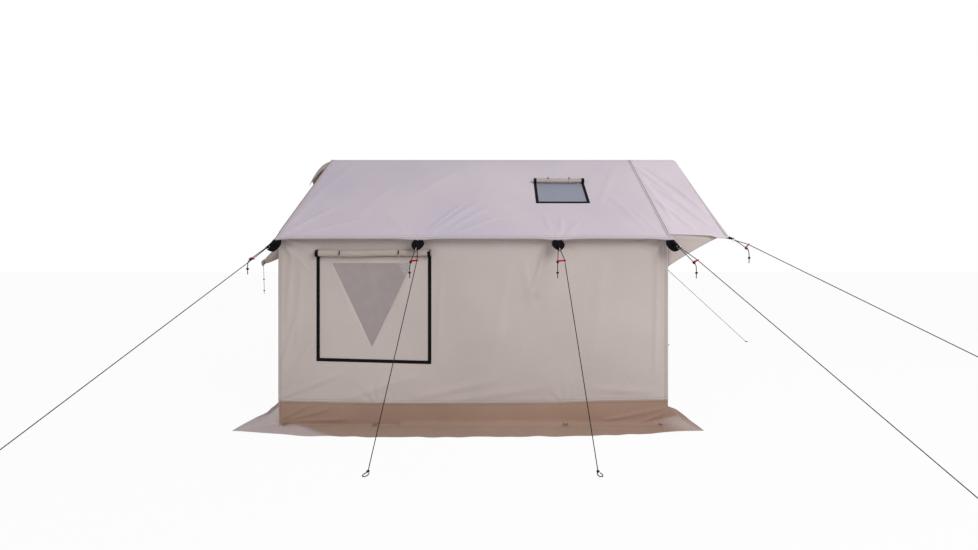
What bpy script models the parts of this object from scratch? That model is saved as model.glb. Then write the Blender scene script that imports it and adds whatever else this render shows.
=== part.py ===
"""A canvas wall tent on a tube frame, with an awning over its door and ten guy ropes.

Metres, +Z up. X runs along the ridge, with the door and the awning at +X. The near side is -Y.
The origin is on the ground, in the middle of the tent without its ropes.
"""

import math

import bmesh
import bpy
import numpy as np
from mathutils import Matrix, Vector

for old in list(bpy.data.objects):
    bpy.data.objects.remove(old, do_unlink=True)

# Driving sizes of the tent
bay_length = 1.525
tent_width = 2.44
wall_height = 1.50
ridge_height = 2.33
eave_overhang = 0.07
rear_overhang = 0.022
awning_reach = 0.518
sod_rise = 0.19
sod_spread = 0.28

# Cloth and the clearance that every seam and seat keeps
cloth = 0.002
seat = 0.0003

# Frame tubes and the sockets that hold their ends
pole_radius = 0.0125
pole_wall = 0.0012
socket_radius = 0.0155
socket_reach = 0.07
pole_setback = 0.025
cap_height = 0.04

# Doorway and its two flaps
door_width = 1.20
door_top = 1.75
door_foot = 0.03
sod_door_gap = 0.015

# Guy ropes and what they hang on
rope_radius = 0.003
ring_radius = 0.013
ring_wire = 0.002

# Places worked out from the driving sizes. The frame has two equal bays along the ridge
tent_length = 2 * bay_length
half_width = tent_width / 2
rear_x = -(tent_length + sod_spread + awning_reach) / 2 + sod_spread
front_x = rear_x + tent_length
half_cloth = cloth / 2
pitch = math.atan2(ridge_height - wall_height, half_width)
rise = math.tan(pitch)
ridge_mid = ridge_height - half_cloth / math.cos(pitch)
pole_drop = (half_cloth + seat + socket_radius) / math.cos(pitch)
ridge_pole_z = ridge_mid - pole_drop
frame_inset = half_cloth + seat + socket_radius
eave_pole_y = half_width - frame_inset
eave_pole_z = ridge_mid - eave_pole_y * rise - pole_drop
frame_xs = (rear_x + frame_inset, (rear_x + front_x) / 2, front_x - frame_inset)
eave_y = half_width + eave_overhang
roof_rear_x = rear_x - rear_overhang
roof_front_x = front_x + half_cloth
awning_x = front_x + awning_reach
wall_top = ridge_mid - (half_width + half_cloth) * rise - (half_cloth + seat) / math.cos(pitch)

# How many sides a round tube is drawn with
tube_sides = 10


def hex_rgba(code):
    """The linear colour of a six-digit sRGB hex code."""
    parts = [int(code[i : i + 2], 16) / 255 for i in (0, 2, 4)]
    return [c / 12.92 if c <= 0.04045 else ((c + 0.055) / 1.055) ** 2.4 for c in parts] + [1.0]


def finish(name, code, roughness, metallic=0.0):
    """A Principled material of one colour."""
    material = bpy.data.materials.new(name)
    material.use_nodes = True
    shader = material.node_tree.nodes["Principled BSDF"]
    shader.inputs["Base Color"].default_value = hex_rgba(code)
    shader.inputs["Roughness"].default_value = roughness
    shader.inputs["Metallic"].default_value = metallic
    return material


roof_canvas = finish("roof_canvas", "C8BFC9", 0.9)
wall_canvas = finish("wall_canvas", "B5AAA5", 0.9)
trim_canvas = finish("trim_canvas", "CBBAB0", 0.9)
brown_cloth = finish("brown_cloth", "987D6E", 0.85)
black_webbing = finish("black_webbing", "0D0B0E", 0.8)
window_net = finish("window_net", "9F9593", 0.9)
glass_cloth = finish("glass_cloth", "9295A6", 0.7)
steel_tube = finish("steel_tube", "B9BCC0", 0.35, 1.0)
nickel = finish("nickel", "C9CACC", 0.25, 1.0)
red_slide = finish("red_slide", "A8262B", 0.4)
dark_rope = finish("dark_rope", "4A4A4C", 0.8)


def add(name, mesh, material, origin=(0, 0, 0)):
    """An object for a mesh in world places, with its own origin at the given point."""
    mesh.transform(Matrix.Translation(-Vector(origin)))
    mesh.materials.clear()
    mesh.materials.append(material)
    thing = bpy.data.objects.new(name, mesh)
    thing.location = origin
    bpy.context.collection.objects.link(thing)
    return thing


def mesh_of(bm):
    """A mesh from a bmesh, with its faces turned outwards."""
    bmesh.ops.recalc_face_normals(bm, faces=bm.faces)
    if bm.calc_volume(signed=True) < 0:
        bmesh.ops.reverse_faces(bm, faces=bm.faces)
    mesh = bpy.data.meshes.new("shape")
    bm.to_mesh(mesh)
    bm.free()
    return mesh


def cloth_mesh(us, vs, place, open_cells=()):
    """A panel with two faces and closed edges. place(u, v) gives its middle and half its thickness.

    Both are arrays of vectors. A cell named in open_cells, by its two numbers, is left out.
    """
    across, along = np.meshgrid(np.array(us, float), np.array(vs, float), indexing="ij")
    middle, half = place(across, along)
    rows, columns = across.shape
    cells = {(i, j) for i in range(rows - 1) for j in range(columns - 1)} - set(open_cells)
    bm = bmesh.new()
    used = sorted({(i + a, j + b) for i, j in cells for a in (0, 1) for b in (0, 1)})
    top = {k: bm.verts.new(middle[k] + half[k]) for k in used}
    under = {k: bm.verts.new(middle[k] - half[k]) for k in used}
    for i, j in sorted(cells):
        a, b, c, d = (i, j), (i + 1, j), (i + 1, j + 1), (i, j + 1)
        for corners in ((a, b, c), (a, c, d)):
            bm.faces.new([top[k] for k in corners])
            bm.faces.new([under[k] for k in reversed(corners)])
        sides = (((i, j - 1), a, b), ((i + 1, j), b, c), ((i, j + 1), c, d), ((i - 1, j), d, a))
        for neighbour, start, end in sides:
            if neighbour not in cells:
                bm.faces.new([top[end], top[start], under[start]])
                bm.faces.new([top[end], under[start], under[end]])
    return mesh_of(bm)


def stacked(*parts):
    """Three arrays as one array of vectors."""
    return np.stack(np.broadcast_arrays(*parts), axis=-1).astype(float)


def steps(start, end, count):
    """Even steps from start to end, both included."""
    return list(np.linspace(start, end, count + 1))


def tube_mesh(start, end, radius, bore=0.0, sides=tube_sides):
    """A straight rod, or a tube where bore is its inner radius."""
    start, end = Vector(start), Vector(end)
    turn = (end - start).to_track_quat("Z", "Y").to_matrix().to_4x4()
    bm = bmesh.new()
    spots = [2 * math.pi * k / sides for k in range(sides)]
    length = (end - start).length
    rings = []
    for r, z in [(radius, 0), (radius, length)] + ([(bore, length), (bore, 0)] if bore else []):
        rings.append([bm.verts.new((r * math.cos(a), r * math.sin(a), z)) for a in spots])
    pairs = list(zip(rings, rings[1:] + rings[:1] if bore else rings[1:]))
    for first, second in pairs:
        for k in range(sides):
            n = (k + 1) % sides
            bm.faces.new([first[k], first[n], second[n], second[k]])
    if not bore:
        bm.faces.new(list(reversed(rings[0])))
        bm.faces.new(rings[1])
    bm.transform(Matrix.Translation(start) @ turn)
    return mesh_of(bm)


def turned_mesh(profile, place, sides=tube_sides):
    """A solid turned about Z from (radius, height) points that start and end on the axis."""
    bm = bmesh.new()
    rings = []
    for r, z in profile:
        if r == 0:
            rings.append([bm.verts.new((0, 0, z))] * sides)
        else:
            angles = [2 * math.pi * k / sides for k in range(sides)]
            rings.append([bm.verts.new((r * math.cos(a), r * math.sin(a), z)) for a in angles])
    for low, high in zip(rings, rings[1:]):
        for k in range(sides):
            n = (k + 1) % sides
            corners = [low[k], low[n], high[n], high[k]]
            bm.faces.new([v for m, v in enumerate(corners) if v not in corners[:m]])
    bm.transform(place)
    return mesh_of(bm)


def plate_mesh(outlines, thickness, place):
    """A flat plate from an outline and its holes, in X and Y, centred on Z."""
    bm = bmesh.new()
    edges = []
    for outline in outlines:
        loop = [bm.verts.new((x, y, -thickness / 2)) for x, y in outline]
        edges += [bm.edges.new((a, b)) for a, b in zip(loop, loop[1:] + loop[:1])]
    flat = bmesh.ops.triangle_fill(bm, use_beauty=True, edges=edges)["geom"]
    faces = [f for f in flat if isinstance(f, bmesh.types.BMFace)]
    lifted = bmesh.ops.extrude_face_region(bm, geom=faces, use_keep_orig=True)["geom"]
    moved = [v for v in lifted if isinstance(v, bmesh.types.BMVert)]
    bmesh.ops.translate(bm, verts=moved, vec=(0, 0, thickness))
    bm.transform(place)
    return mesh_of(bm)


def circle(radius, count, centre=(0, 0)):
    """The points of a circle in a plane."""
    angles = [2 * math.pi * k / count for k in range(count)]
    return [(centre[0] + radius * math.cos(a), centre[1] + radius * math.sin(a)) for a in angles]


def axes_at(point, x_axis, y_axis, z_axis):
    """The place of a shape whose own axes point along the three given directions."""
    turn = Matrix([x_axis, y_axis, z_axis]).transposed().to_4x4()
    return Matrix.Translation(Vector(point)) @ turn


def solid_of(base, change, operation):
    """The mesh that a Boolean makes of two meshes."""
    shapes = [bpy.data.objects.new("shape", mesh) for mesh in (base, change)]
    for shape in shapes:
        bpy.context.collection.objects.link(shape)
    cut = shapes[0].modifiers.new("cut", "BOOLEAN")
    cut.operation, cut.solver, cut.object = operation, "EXACT", shapes[1]
    bpy.context.view_layer.update()
    graph = bpy.context.evaluated_depsgraph_get()
    result = bpy.data.meshes.new_from_object(shapes[0].evaluated_get(graph))
    for shape, mesh in zip(shapes, (base, change)):
        bpy.data.objects.remove(shape, do_unlink=True)
        bpy.data.meshes.remove(mesh)
    return result


# Tube frame: ridge and eave tubes, an A-shaped pair of rafters and two legs at each of three places
peaks = [Vector((x, 0, ridge_pole_z)) for x in frame_xs]
eaves = {s: [Vector((x, s * eave_pole_y, eave_pole_z)) for x in frame_xs] for s in (-1, 1)}
along_x = Vector((1, 0, 0))
down = Vector((0, 0, -1))
pole_bore = pole_radius - pole_wall
pole_end_gap = 0.06
ridge_tip_x = awning_x - pole_end_gap
overrun = 0.005


def pole(start, end):
    """A frame tube between two points."""
    return tube_mesh(start, end, pole_radius, pole_bore)


add("ridge_pole_rear", pole(peaks[0] + along_x * pole_setback, peaks[1] - along_x * seat), steel_tube)
ridge_tip = Vector((ridge_tip_x, 0, ridge_pole_z))
add("ridge_pole_front", pole(peaks[1] + along_x * seat, ridge_tip), steel_tube)
for side, word in ((-1, "near"), (1, "far")):
    first, last = eaves[side][0], eaves[side][2]
    rail = pole(first + along_x * pole_setback, last - along_x * pole_setback)
    add("eave_pole_" + word, rail, steel_tube)


def sleeves(point, ways, start):
    """Round sleeves that leave one point in several ways, welded into one."""
    whole = start
    for way in ways:
        arm = tube_mesh(point - way * socket_radius / 2, point + way * socket_reach, socket_radius)
        whole = arm if whole is None else solid_of(whole, arm, "UNION")
    return whole


def bored(whole, point, ways, through):
    """The sleeves with a hole for each tube, right through where one tube passes."""
    hole = pole_radius + seat
    for way in ways:
        begin = way * (pole_setback - seat)
        if through:
            begin = -way * (socket_reach + overrun)
        drill = tube_mesh(point + begin, point + way * (socket_reach + overrun), hole)
        whole = solid_of(whole, drill, "DIFFERENCE")
        if through:
            break
    return whole


frame_words = ("rear", "middle", "front")
for number, peak in enumerate(peaks):
    # The two rafters are welded to the sleeves that hold the ridge tubes
    slopes = [(eaves[s][number] - peak).normalized() for s in (-1, 1)]
    runs = [along_x, -along_x] if number else [along_x]
    pair = sleeves(peak, runs + slopes, None)
    ends = [eaves[s][number] - way * pole_setback for s, way in zip((-1, 1), slopes)]
    for end, way in zip(ends, slopes):
        pair = solid_of(pair, tube_mesh(peak + way * socket_radius, end, pole_radius), "UNION")
        hollow = tube_mesh(peak + way * socket_reach, end + way * overrun, pole_bore)
        pair = solid_of(pair, hollow, "DIFFERENCE")
    pair = bored(pair, peak, runs, number > 0)
    add("rafters_" + frame_words[number], pair, steel_tube)

for side, word in ((-1, "near"), (1, "far")):
    for number, eave in enumerate(eaves[side]):
        # A leg carries the sleeves for its rafter and the eave tube, and stands on a ferrule
        runs = {0: [along_x], 1: [along_x, -along_x], 2: [-along_x]}[number]
        slope = (peaks[number] - eave).normalized()
        foot = Vector((eave.x, eave.y, 0))
        leg = sleeves(eave, runs + [slope], None)
        leg = solid_of(leg, tube_mesh(foot, eave, pole_radius), "UNION")
        leg = solid_of(leg, tube_mesh(foot, foot - down * cap_height, socket_radius), "UNION")
        hollow = tube_mesh(foot + down * overrun, eave + down * socket_reach, pole_bore)
        leg = solid_of(leg, hollow, "DIFFERENCE")
        leg = bored(leg, eave, [slope], False)
        leg = bored(leg, eave, runs, number == 1)
        add("leg_" + frame_words[number] + "_" + word, leg, steel_tube)


# Roof: one sheet over the ridge, taut over the rafters with a slight sag between them
roof_sag = 0.006
jack_left = 0.414
jack_width = 0.445
jack_low_share = 0.397
corner_tab = 0.038
corner_tab_y = half_width + 0.006
jack_high_share = 0.65


def slope_y(share):
    """How far from the middle a place on the slope is, from 0 at the eave edge to 1 at the ridge."""
    return eave_y * (1 - share)


jack_x = (jack_left, jack_left + jack_width)
jack_y = (-slope_y(jack_low_share), -slope_y(jack_high_share))
bay = frame_xs[1] - frame_xs[0]
first_bay = steps(roof_rear_x, frame_xs[1], 6)
second_bay = [frame_xs[1] + 0.2 * bay, jack_x[0], sum(jack_x) / 2, jack_x[1], front_x - 0.17 * bay]
roof_xs = first_bay + second_bay + [roof_front_x]
near_ys = [-eave_y, -corner_tab_y, -0.83 * half_width, jack_y[0], sum(jack_y) / 2, jack_y[1]]
near_ys += [-0.14 * half_width]
roof_ys = near_ys + [0.0] + [-y for y in reversed(near_ys)]


def sag_at(x, y):
    """How far the cloth hangs below the straight slope: nothing over a tube, most amid a bay."""
    bay_share = np.clip((x - frame_xs[0]) / bay, 0, 2)
    inside = np.clip(np.abs(y) / half_width, 0, 1)
    return roof_sag * np.sin(np.pi * bay_share) ** 2 * np.sin(np.pi * inside)


def roof_place(x, y, lift=0.0):
    """The middle of the roof sheet over a point of the floor plan, and half its thickness.

    Each front corner of the eaves runs out to a small tab, for the guy patch under it.
    """
    side = np.sign(y)
    slope = stacked(0 * x, side * math.sin(pitch), math.cos(pitch) + 0 * x)
    ridge = stacked(0 * x, 0 * x, 1 / math.cos(pitch) + 0 * x)
    out = np.where((y == 0)[..., None], ridge, slope)
    tab = corner_tab * np.clip((np.abs(y) - corner_tab_y) / (eave_y - corner_tab_y), 0, 1) * (x == roof_front_x)
    middle = stacked(x + tab, y, ridge_mid - np.abs(y) * rise - sag_at(x, y))
    return middle + out * lift, out * half_cloth


def between(values, low, high):
    """The numbers of the cells of a list that lie between two of its values."""
    return [k for k in range(len(values) - 1) if low <= (values[k] + values[k + 1]) / 2 <= high]


jack_cells = [(i, j) for i in between(roof_xs, *jack_x) for j in between(roof_ys, *jack_y)]
roof_mesh = cloth_mesh(roof_xs, roof_ys, roof_place, jack_cells)

# Stove jack: a heat-proof panel in the roof, taped round, with its cover rolled up above it
tape_width = 0.025
tape_thickness = 0.0015
lap = 0.0005
roll_radius = 0.024
jack_roll_rise = 0.015
jack_tie_shares = (0.285, 0.703)
panel_xs = [jack_x[0] + seat, sum(jack_x) / 2, jack_x[1] - seat]
panel_ys = [jack_y[0] + seat, sum(jack_y) / 2, jack_y[1] - seat]
add("stove_jack_panel", cloth_mesh(panel_xs, panel_ys, roof_place), glass_cloth)


def strip_frame(us, vs, width):
    """The grid lines of a tape on three sides of a space, and the cells that it leaves out."""
    side_lines = [us[0] - width / 2, us[0] + width / 2, *us[1:-1], us[-1] - width / 2, us[-1] + width / 2]
    rising_lines = [vs[0] - width / 2, vs[0] + width / 2, *vs[1:]]
    open_cells = [(i, j) for i in range(1, len(side_lines) - 2) for j in range(1, len(rising_lines) - 1)]
    return side_lines, rising_lines, open_cells


def jack_tape_place(x, y):
    """The tape lies on the roof sheet."""
    middle, half = roof_place(x, y, half_cloth + lap + tape_thickness / 2)
    return middle, half * tape_thickness / cloth


jack_us, jack_vs, jack_open = strip_frame(
    (jack_x[0], sum(jack_x) / 2, jack_x[1]), (jack_y[0], sum(jack_y) / 2, jack_y[1]), tape_width
)
add("stove_jack_tape", cloth_mesh(jack_us, jack_vs, jack_tape_place, jack_open), black_webbing)


roll_turns = 2.2
roll_points = 22
roll_core_share = 0.3
strap_width = 0.015
strap_thickness = 0.0015
strap_bite = 0.0005
toggle_radius = 0.005
toggle_length = 0.036
toggle_bite = 0.001


def rolled_mesh(start, end, up, radius):
    """Cloth rolled up on itself: a spiral that runs from a small core out to the radius."""
    along = (Vector(end) - Vector(start)).normalized()
    out = along.cross(up).normalized()
    shares = [k / roll_points for k in range(roll_points + 1)]
    angles = [2 * math.pi * roll_turns * share for share in shares]
    radii = [radius * (roll_core_share + (1 - roll_core_share) * share) for share in shares]
    outer = [(r * math.cos(a), r * math.sin(a)) for r, a in zip(radii, angles)]
    inner = [((r - cloth) * math.cos(a), (r - cloth) * math.sin(a)) for r, a in zip(radii, angles)]
    place = axes_at((Vector(start) + Vector(end)) / 2, out, up, along)
    return plate_mesh([outer + list(reversed(inner))], (Vector(end) - Vector(start)).length, place)


def strap_mesh(point, along, out, up, radius, foot):
    """A strap that leaves the cloth above a roll, goes round its front and meets the cloth below it."""
    inner = radius - strap_bite
    outer = inner + strap_thickness
    spots = [math.pi * (0.5 - k / 8) for k in range(9)]
    front = [(outer * math.cos(a), outer * math.sin(a)) for a in spots]
    back = [(inner * math.cos(a), inner * math.sin(a)) for a in reversed(spots)]
    outline = [(-foot, outer)] + front + [(-foot, -outer), (-foot, -inner)] + back + [(-foot, inner)]
    return plate_mesh([outline], strap_width, axes_at(point, out, up, along))


def cover_mesh(start, end, up, radius, tie_shares):
    """A rolled cover, and the straps with toggles that hold it."""
    along = (Vector(end) - Vector(start)).normalized()
    out = along.cross(up).normalized()
    whole = rolled_mesh(start, end, up, radius)
    for share in tie_shares:
        point = Vector(start).lerp(Vector(end), share)
        whole = solid_of(whole, strap_mesh(point, along, out, up, radius, radius), "UNION")
        front = point + out * (radius - strap_bite + strap_thickness - toggle_bite + toggle_radius)
        half = up * toggle_length / 2
        toggle = tube_mesh(front - half, front + half, toggle_radius, sides=8)
        whole = solid_of(whole, toggle, "UNION")
    return whole


def on_slope(x, share, lift):
    """A point above the near slope's sheet."""
    y = -slope_y(share)
    middle, _ = roof_place(np.array([x]), np.array([y]), lift)
    return Vector(middle[0])


slope_up = Vector((0, math.cos(pitch), math.sin(pitch)))
roll_share = jack_high_share + jack_roll_rise / math.hypot(eave_y, eave_y * rise)
roll_lift = half_cloth + lap + roll_radius
jack_roll_start = on_slope(jack_x[0] - tape_width / 2, roll_share, roll_lift)
jack_roll_end = on_slope(jack_x[1] + tape_width / 2, roll_share, roll_lift)
jack_cover = cover_mesh(jack_roll_start, jack_roll_end, slope_up, roll_radius, jack_tie_shares)
add("stove_jack_cover", jack_cover, trim_canvas)

# Awning: the roof goes on past the front wall, over the end of the ridge pole
awning_nose_drop = 0.02
awning_corner_back = 0.059
awning_nose_share = 0.85
awning_overhang = 0.004
awning_flare = 0.03


def awning_edge(share):
    """Half the awning's width: the side walls' line at the seam, and a little more at the front corners."""
    return half_width + awning_overhang + awning_flare * share**2


def awning_place(share, v):
    """v runs from -1 at the near edge to 1 at the far one. The nose dips past the pole's end."""
    side = np.sign(v)
    y = v * awning_edge(share)
    reach = awning_x - awning_corner_back * np.abs(v) - (roof_front_x + seat)
    x = roof_front_x + seat + share * reach
    slope = stacked(0 * x, side * math.sin(pitch), math.cos(pitch) + 0 * x)
    ridge = stacked(0 * x, 0 * x, 1 / math.cos(pitch) + 0 * x)
    out = np.where((y == 0)[..., None], ridge, slope)
    past = np.clip((share - awning_nose_share) / (1 - awning_nose_share), 0, 1)
    hang = awning_nose_drop * past**2 * (1 - np.abs(v))
    hang = hang + roof_sag * np.sin(np.pi * np.clip(np.abs(y) / half_width, 0, 1)) * share
    return stacked(x, y, ridge_mid - np.abs(y) * rise - hang), out * half_cloth


awning_vs = steps(-1, 0, 5) + steps(0, 1, 5)[1:]
awning_shares = [0, 0.3, 0.6, awning_nose_share, 0.93, 1]
awning_mesh = cloth_mesh(awning_shares, awning_vs, awning_place)

# Gussets: a tapering wing of wall cloth, sewn under each side of the awning
gusset_depth = 0.25
gusset_tip = 0.006
for side in (-1, 1):

    def gusset_place(share, low, side=side):
        """A wing in the line of the side wall that narrows in a curve to the awning's corner."""
        middle, _ = awning_place(share, side * half_width / awning_edge(share))
        depth = gusset_tip + (gusset_depth - gusset_tip) * (1 - share) ** 1.4
        middle = middle - stacked(0 * share, 0 * share, low * depth)
        return middle, stacked(0 * share, side * half_cloth + 0 * share, 0 * share)

    gusset_shares = [0.004] + awning_shares[1:-1] + [0.98]
    gusset = cloth_mesh(gusset_shares, [0, 0.5, 1], gusset_place)
    awning_mesh = solid_of(awning_mesh, gusset, "UNION")


# Side walls: hung from the eaves down to the brown sod cloth, with a window opening in the rear bay
window_inset = 0.311
window_width = 0.873
window_height = 0.815
window_drop = 0.168
wall_billow = 0.006
wall_foot = sod_rise
window_x = (rear_x + window_inset, rear_x + window_inset + window_width)
window_z = (wall_height - window_drop - window_height, wall_height - window_drop)


def wall_place(side):
    """The place function of a side wall, which hangs flat at the frames and bows in between them."""

    def place(x, z, lift=0.0, half=half_cloth):
        bay_share = np.clip((x - frame_xs[1]) / bay, 0, 1)
        height_share = np.clip((z - wall_foot) / (wall_top - wall_foot), 0, 1)
        bow = wall_billow * np.sin(np.pi * bay_share) ** 2 * np.sin(np.pi * height_share)
        out = half_width - bow + lift
        return stacked(x, side * out, z), stacked(0 * x, side * half + 0 * x, 0 * x)

    return place


wall_xs = [rear_x - half_cloth, window_x[0], sum(window_x) / 2, window_x[1], frame_xs[1]]
wall_xs += [frame_xs[1] + share * bay for share in (0.2, 0.4, 0.6, 0.8)] + [front_x + half_cloth]
wall_zs = [wall_foot, window_z[0], sum(window_z) / 2, window_z[1], wall_top]
window_cells = [(i, j) for i in between(wall_xs, *window_x) for j in between(wall_zs, *window_z)]

# Windows: a net over the opening, a canvas leaf behind it with a V cut out, tape, and a rolled cover
net_thickness = 0.001
net_lap = 0.015
window_roll_radius = 0.027
window_roll_rise = 0.015
leaf_drop = 0.01
vee_half_width = 0.3075
vee_depth = 0.6475
vee_inset = 0.42
vee_drop = 0.053
vee_x = window_x[0] + vee_inset
roll_z = window_z[1] + window_roll_rise
window_tie_shares = (0.214, 0.724)
for side, word in ((-1, "near"), (1, "far")):
    place = wall_place(side)
    add("wall_" + word, cloth_mesh(wall_xs, wall_zs, place, window_cells), wall_canvas)
    net_lift = -(half_cloth + seat + net_thickness / 2)
    net_us = [window_x[0] - net_lap, window_x[1] + net_lap]
    net_vs = [window_z[0] - net_lap, window_z[1] + net_lap]
    net = cloth_mesh(net_us, net_vs, lambda x, z, p=place: p(x, z, net_lift, net_thickness / 2))
    add("window_net_" + word, net, window_net)
    leaf_top = window_z[1] - leaf_drop
    leaf = [(net_us[0], net_vs[0]), (net_us[1], net_vs[0]), (net_us[1], leaf_top), (net_us[0], leaf_top)]
    vee_top = leaf_top - vee_drop
    vee = [(vee_x + vee_half_width, vee_top), (vee_x - vee_half_width, vee_top), (vee_x, vee_top - vee_depth)]
    leaf_y = side * (half_width - half_cloth - seat - net_thickness - seat - half_cloth)
    leaf_place = axes_at((0, leaf_y, 0), (1, 0, 0), (0, 0, 1), (0, -1, 0))
    add("window_leaf_" + word, plate_mesh([leaf, vee], cloth, leaf_place), wall_canvas)
    tape_us, tape_vs, tape_open = strip_frame(window_x, window_z, tape_width)
    tape_lift = half_cloth + seat + tape_thickness / 2
    tape = cloth_mesh(
        tape_us, tape_vs, lambda x, z, p=place: p(x, z, tape_lift, tape_thickness / 2), tape_open
    )
    add("window_tape_" + word, tape, black_webbing)
    roll_y = side * (half_width + half_cloth + seat + window_roll_radius)
    roll_start = Vector((window_x[0] - tape_width / 2, roll_y, roll_z))
    roll_end = Vector((window_x[1] + tape_width / 2, roll_y, roll_z))
    if side > 0:
        roll_start, roll_end = roll_end, roll_start
    cover = cover_mesh(roll_start, roll_end, Vector((0, 0, 1)), window_roll_radius, window_tie_shares)
    add("window_cover_" + word, cover, trim_canvas)

# Rear wall: a gable that reaches up under the ridge
gable_gap = (half_cloth + seat) / math.cos(pitch)
gable_y = half_width - half_cloth - seat
gable_billow = 0.006


def gable_top(y):
    """The height of the roof sheet's underside."""
    return ridge_mid - np.abs(y) * rise - gable_gap


def rear_place(y, share):
    """The rear wall bows out a little in the middle of each half."""
    z = wall_foot + share * (gable_top(y) - wall_foot)
    bow = gable_billow * np.sin(np.pi * np.abs(y) / half_width) ** 2 * np.sin(np.pi * share)
    return stacked(rear_x - bow, y, z), stacked(half_cloth + 0 * y, 0 * y, 0 * y)


rear_ys = [-gable_y] + [k / 5 * half_width for k in range(-4, 5)] + [gable_y]
add("rear_wall", cloth_mesh(rear_ys, steps(0, 1, 5), rear_place), wall_canvas)

# Front wall: a gable with the doorway and a notch for the ridge pole
door_edge = door_width / 2
door_edge_half = half_cloth / 2
hinge_y = door_edge - door_edge_half - seat
notch_gap = 0.001
notch_flank = 0.05
notch_half = pole_radius + notch_gap
notch_top = ridge_pole_z - socket_radius - notch_gap
door_row_share = 0.72


def front_place(y, share):
    """Rows of the front wall: level over the doorway, and sloping with the roof beside it."""
    top = gable_top(y)
    lowered = np.abs(y) < notch_half + seat
    top = np.where(lowered, notch_top, top)
    row = np.where(np.abs(y) <= door_edge + seat, door_top, door_top * gable_top(y) / gable_top(door_edge))
    low = wall_foot + share / door_row_share * (row - wall_foot)
    high = row + (share - door_row_share) / (1 - door_row_share) * (top - row)
    z = np.where(share <= door_row_share, low, high)
    return stacked(front_x + 0 * y, y, z), stacked(half_cloth + 0 * y, 0 * y, 0 * y)


front_ys = [-gable_y, -0.75 * half_width, -door_edge, -door_edge / 2, -notch_flank, -notch_half]
front_ys = front_ys + [-y for y in reversed(front_ys)]
front_shares = [0, door_row_share / 2, door_row_share, 1]
door_cells = [(i, j) for i in between(front_ys, -door_edge, door_edge) for j in (0, 1)]
add("front_wall", cloth_mesh(front_ys, front_shares, front_place, door_cells), wall_canvas)

# Door flaps: each turns about its sewn outer edge, which is rounded to turn in the wall's edge
zip_gap = 0.0015
zip_tape_width = 0.028
zip_tape_thickness = 0.0014
zip_bare = 0.012
door_head_gap = 0.004
door_folds = 0.004
zip_calm = 0.002
zip_share = 1 - (zip_gap + zip_tape_width - zip_bare + zip_calm) / (hinge_y - zip_bare)
hinge_points = {side: Vector((front_x, side * hinge_y, door_foot)) for side in (-1, 1)}


def door_place(side):
    """The place function of a door flap: soft upright folds that die out at its edges."""

    def place(share, z):
        y = side * (hinge_y - share * (hinge_y - zip_bare))
        fold = door_folds * np.sin(3 * np.pi * share / zip_share) * np.clip(4 * (zip_share - share), 0, 1)
        fade = np.clip((door_top - z) / door_top * 1.6, 0, 1)
        rounded = np.where(share == 0, door_edge_half, half_cloth)
        return stacked(front_x + fold * fade, y, z), stacked(rounded, 0 * y, 0 * y)

    return place


door_shares = [0, 0.006] + steps(0, zip_share, 8)[1:] + [1]
door_zs = steps(door_foot, door_top - door_head_gap, 4)
zip_top_gaps = {-1: 0.012, 1: 0.05}
zip_top = {side: door_top - gap for side, gap in zip_top_gaps.items()}
zip_x = front_x + half_cloth + seat + zip_tape_thickness / 2
for side, word in ((-1, "near"), (1, "far")):
    origin = hinge_points[side]
    add("door_" + word, cloth_mesh(door_shares, door_zs, door_place(side)), wall_canvas, origin)
    tape_ys = sorted((side * zip_gap, side * (zip_gap + zip_tape_width)))
    outline = [(y, z) for y, z in zip(tape_ys + tape_ys[::-1], [door_foot] * 2 + [zip_top[side]] * 2)]
    tape_place = axes_at((zip_x, 0, 0), (0, 1, 0), (0, 0, 1), (1, 0, 0))
    add("zip_tape_" + word, plate_mesh([outline], zip_tape_thickness, tape_place), black_webbing, origin)

# Zip slider: two plates joined by a web that runs between the tapes, and its pull
slider_half = 0.008
slider_wall = 0.0012
slider_length = 0.02
slider_web = 0.0008
slider_clear = 0.0004
pull_length = 0.032
pull_root_half = 0.004
pull_tip_half = 0.005
inner = zip_tape_thickness / 2 + slider_clear
outer = inner + slider_wall
slider_outline = [
    (-slider_half, -outer),
    (slider_half, -outer),
    (slider_half, -inner),
    (slider_web, -inner),
    (slider_web, inner),
    (slider_half, inner),
    (slider_half, outer),
    (-slider_half, outer),
    (-slider_half, inner),
    (-slider_web, inner),
    (-slider_web, -inner),
    (-slider_half, -inner),
]
slider_z = (zip_top[-1] + zip_top[1]) / 2 + slider_length / 4
slider_place = axes_at((zip_x, 0, slider_z), (0, 1, 0), (1, 0, 0), (0, 0, -1))
pull_tip = [(pull_tip_half, -pull_length), (-pull_tip_half, -pull_length)]
pull_outline = [(-pull_root_half, 0), (pull_root_half, 0)] + pull_tip
pull_x = zip_x + outer + slider_wall / 4
pull_place = axes_at((pull_x, 0, slider_z), (0, 1, 0), (0, 0, 1), (1, 0, 0))
slider = plate_mesh([slider_outline], slider_length, slider_place)
slider = solid_of(slider, plate_mesh([pull_outline], slider_wall, pull_place), "UNION")
add("zip_slider", slider, nickel, (zip_x, 0, slider_z))

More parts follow.
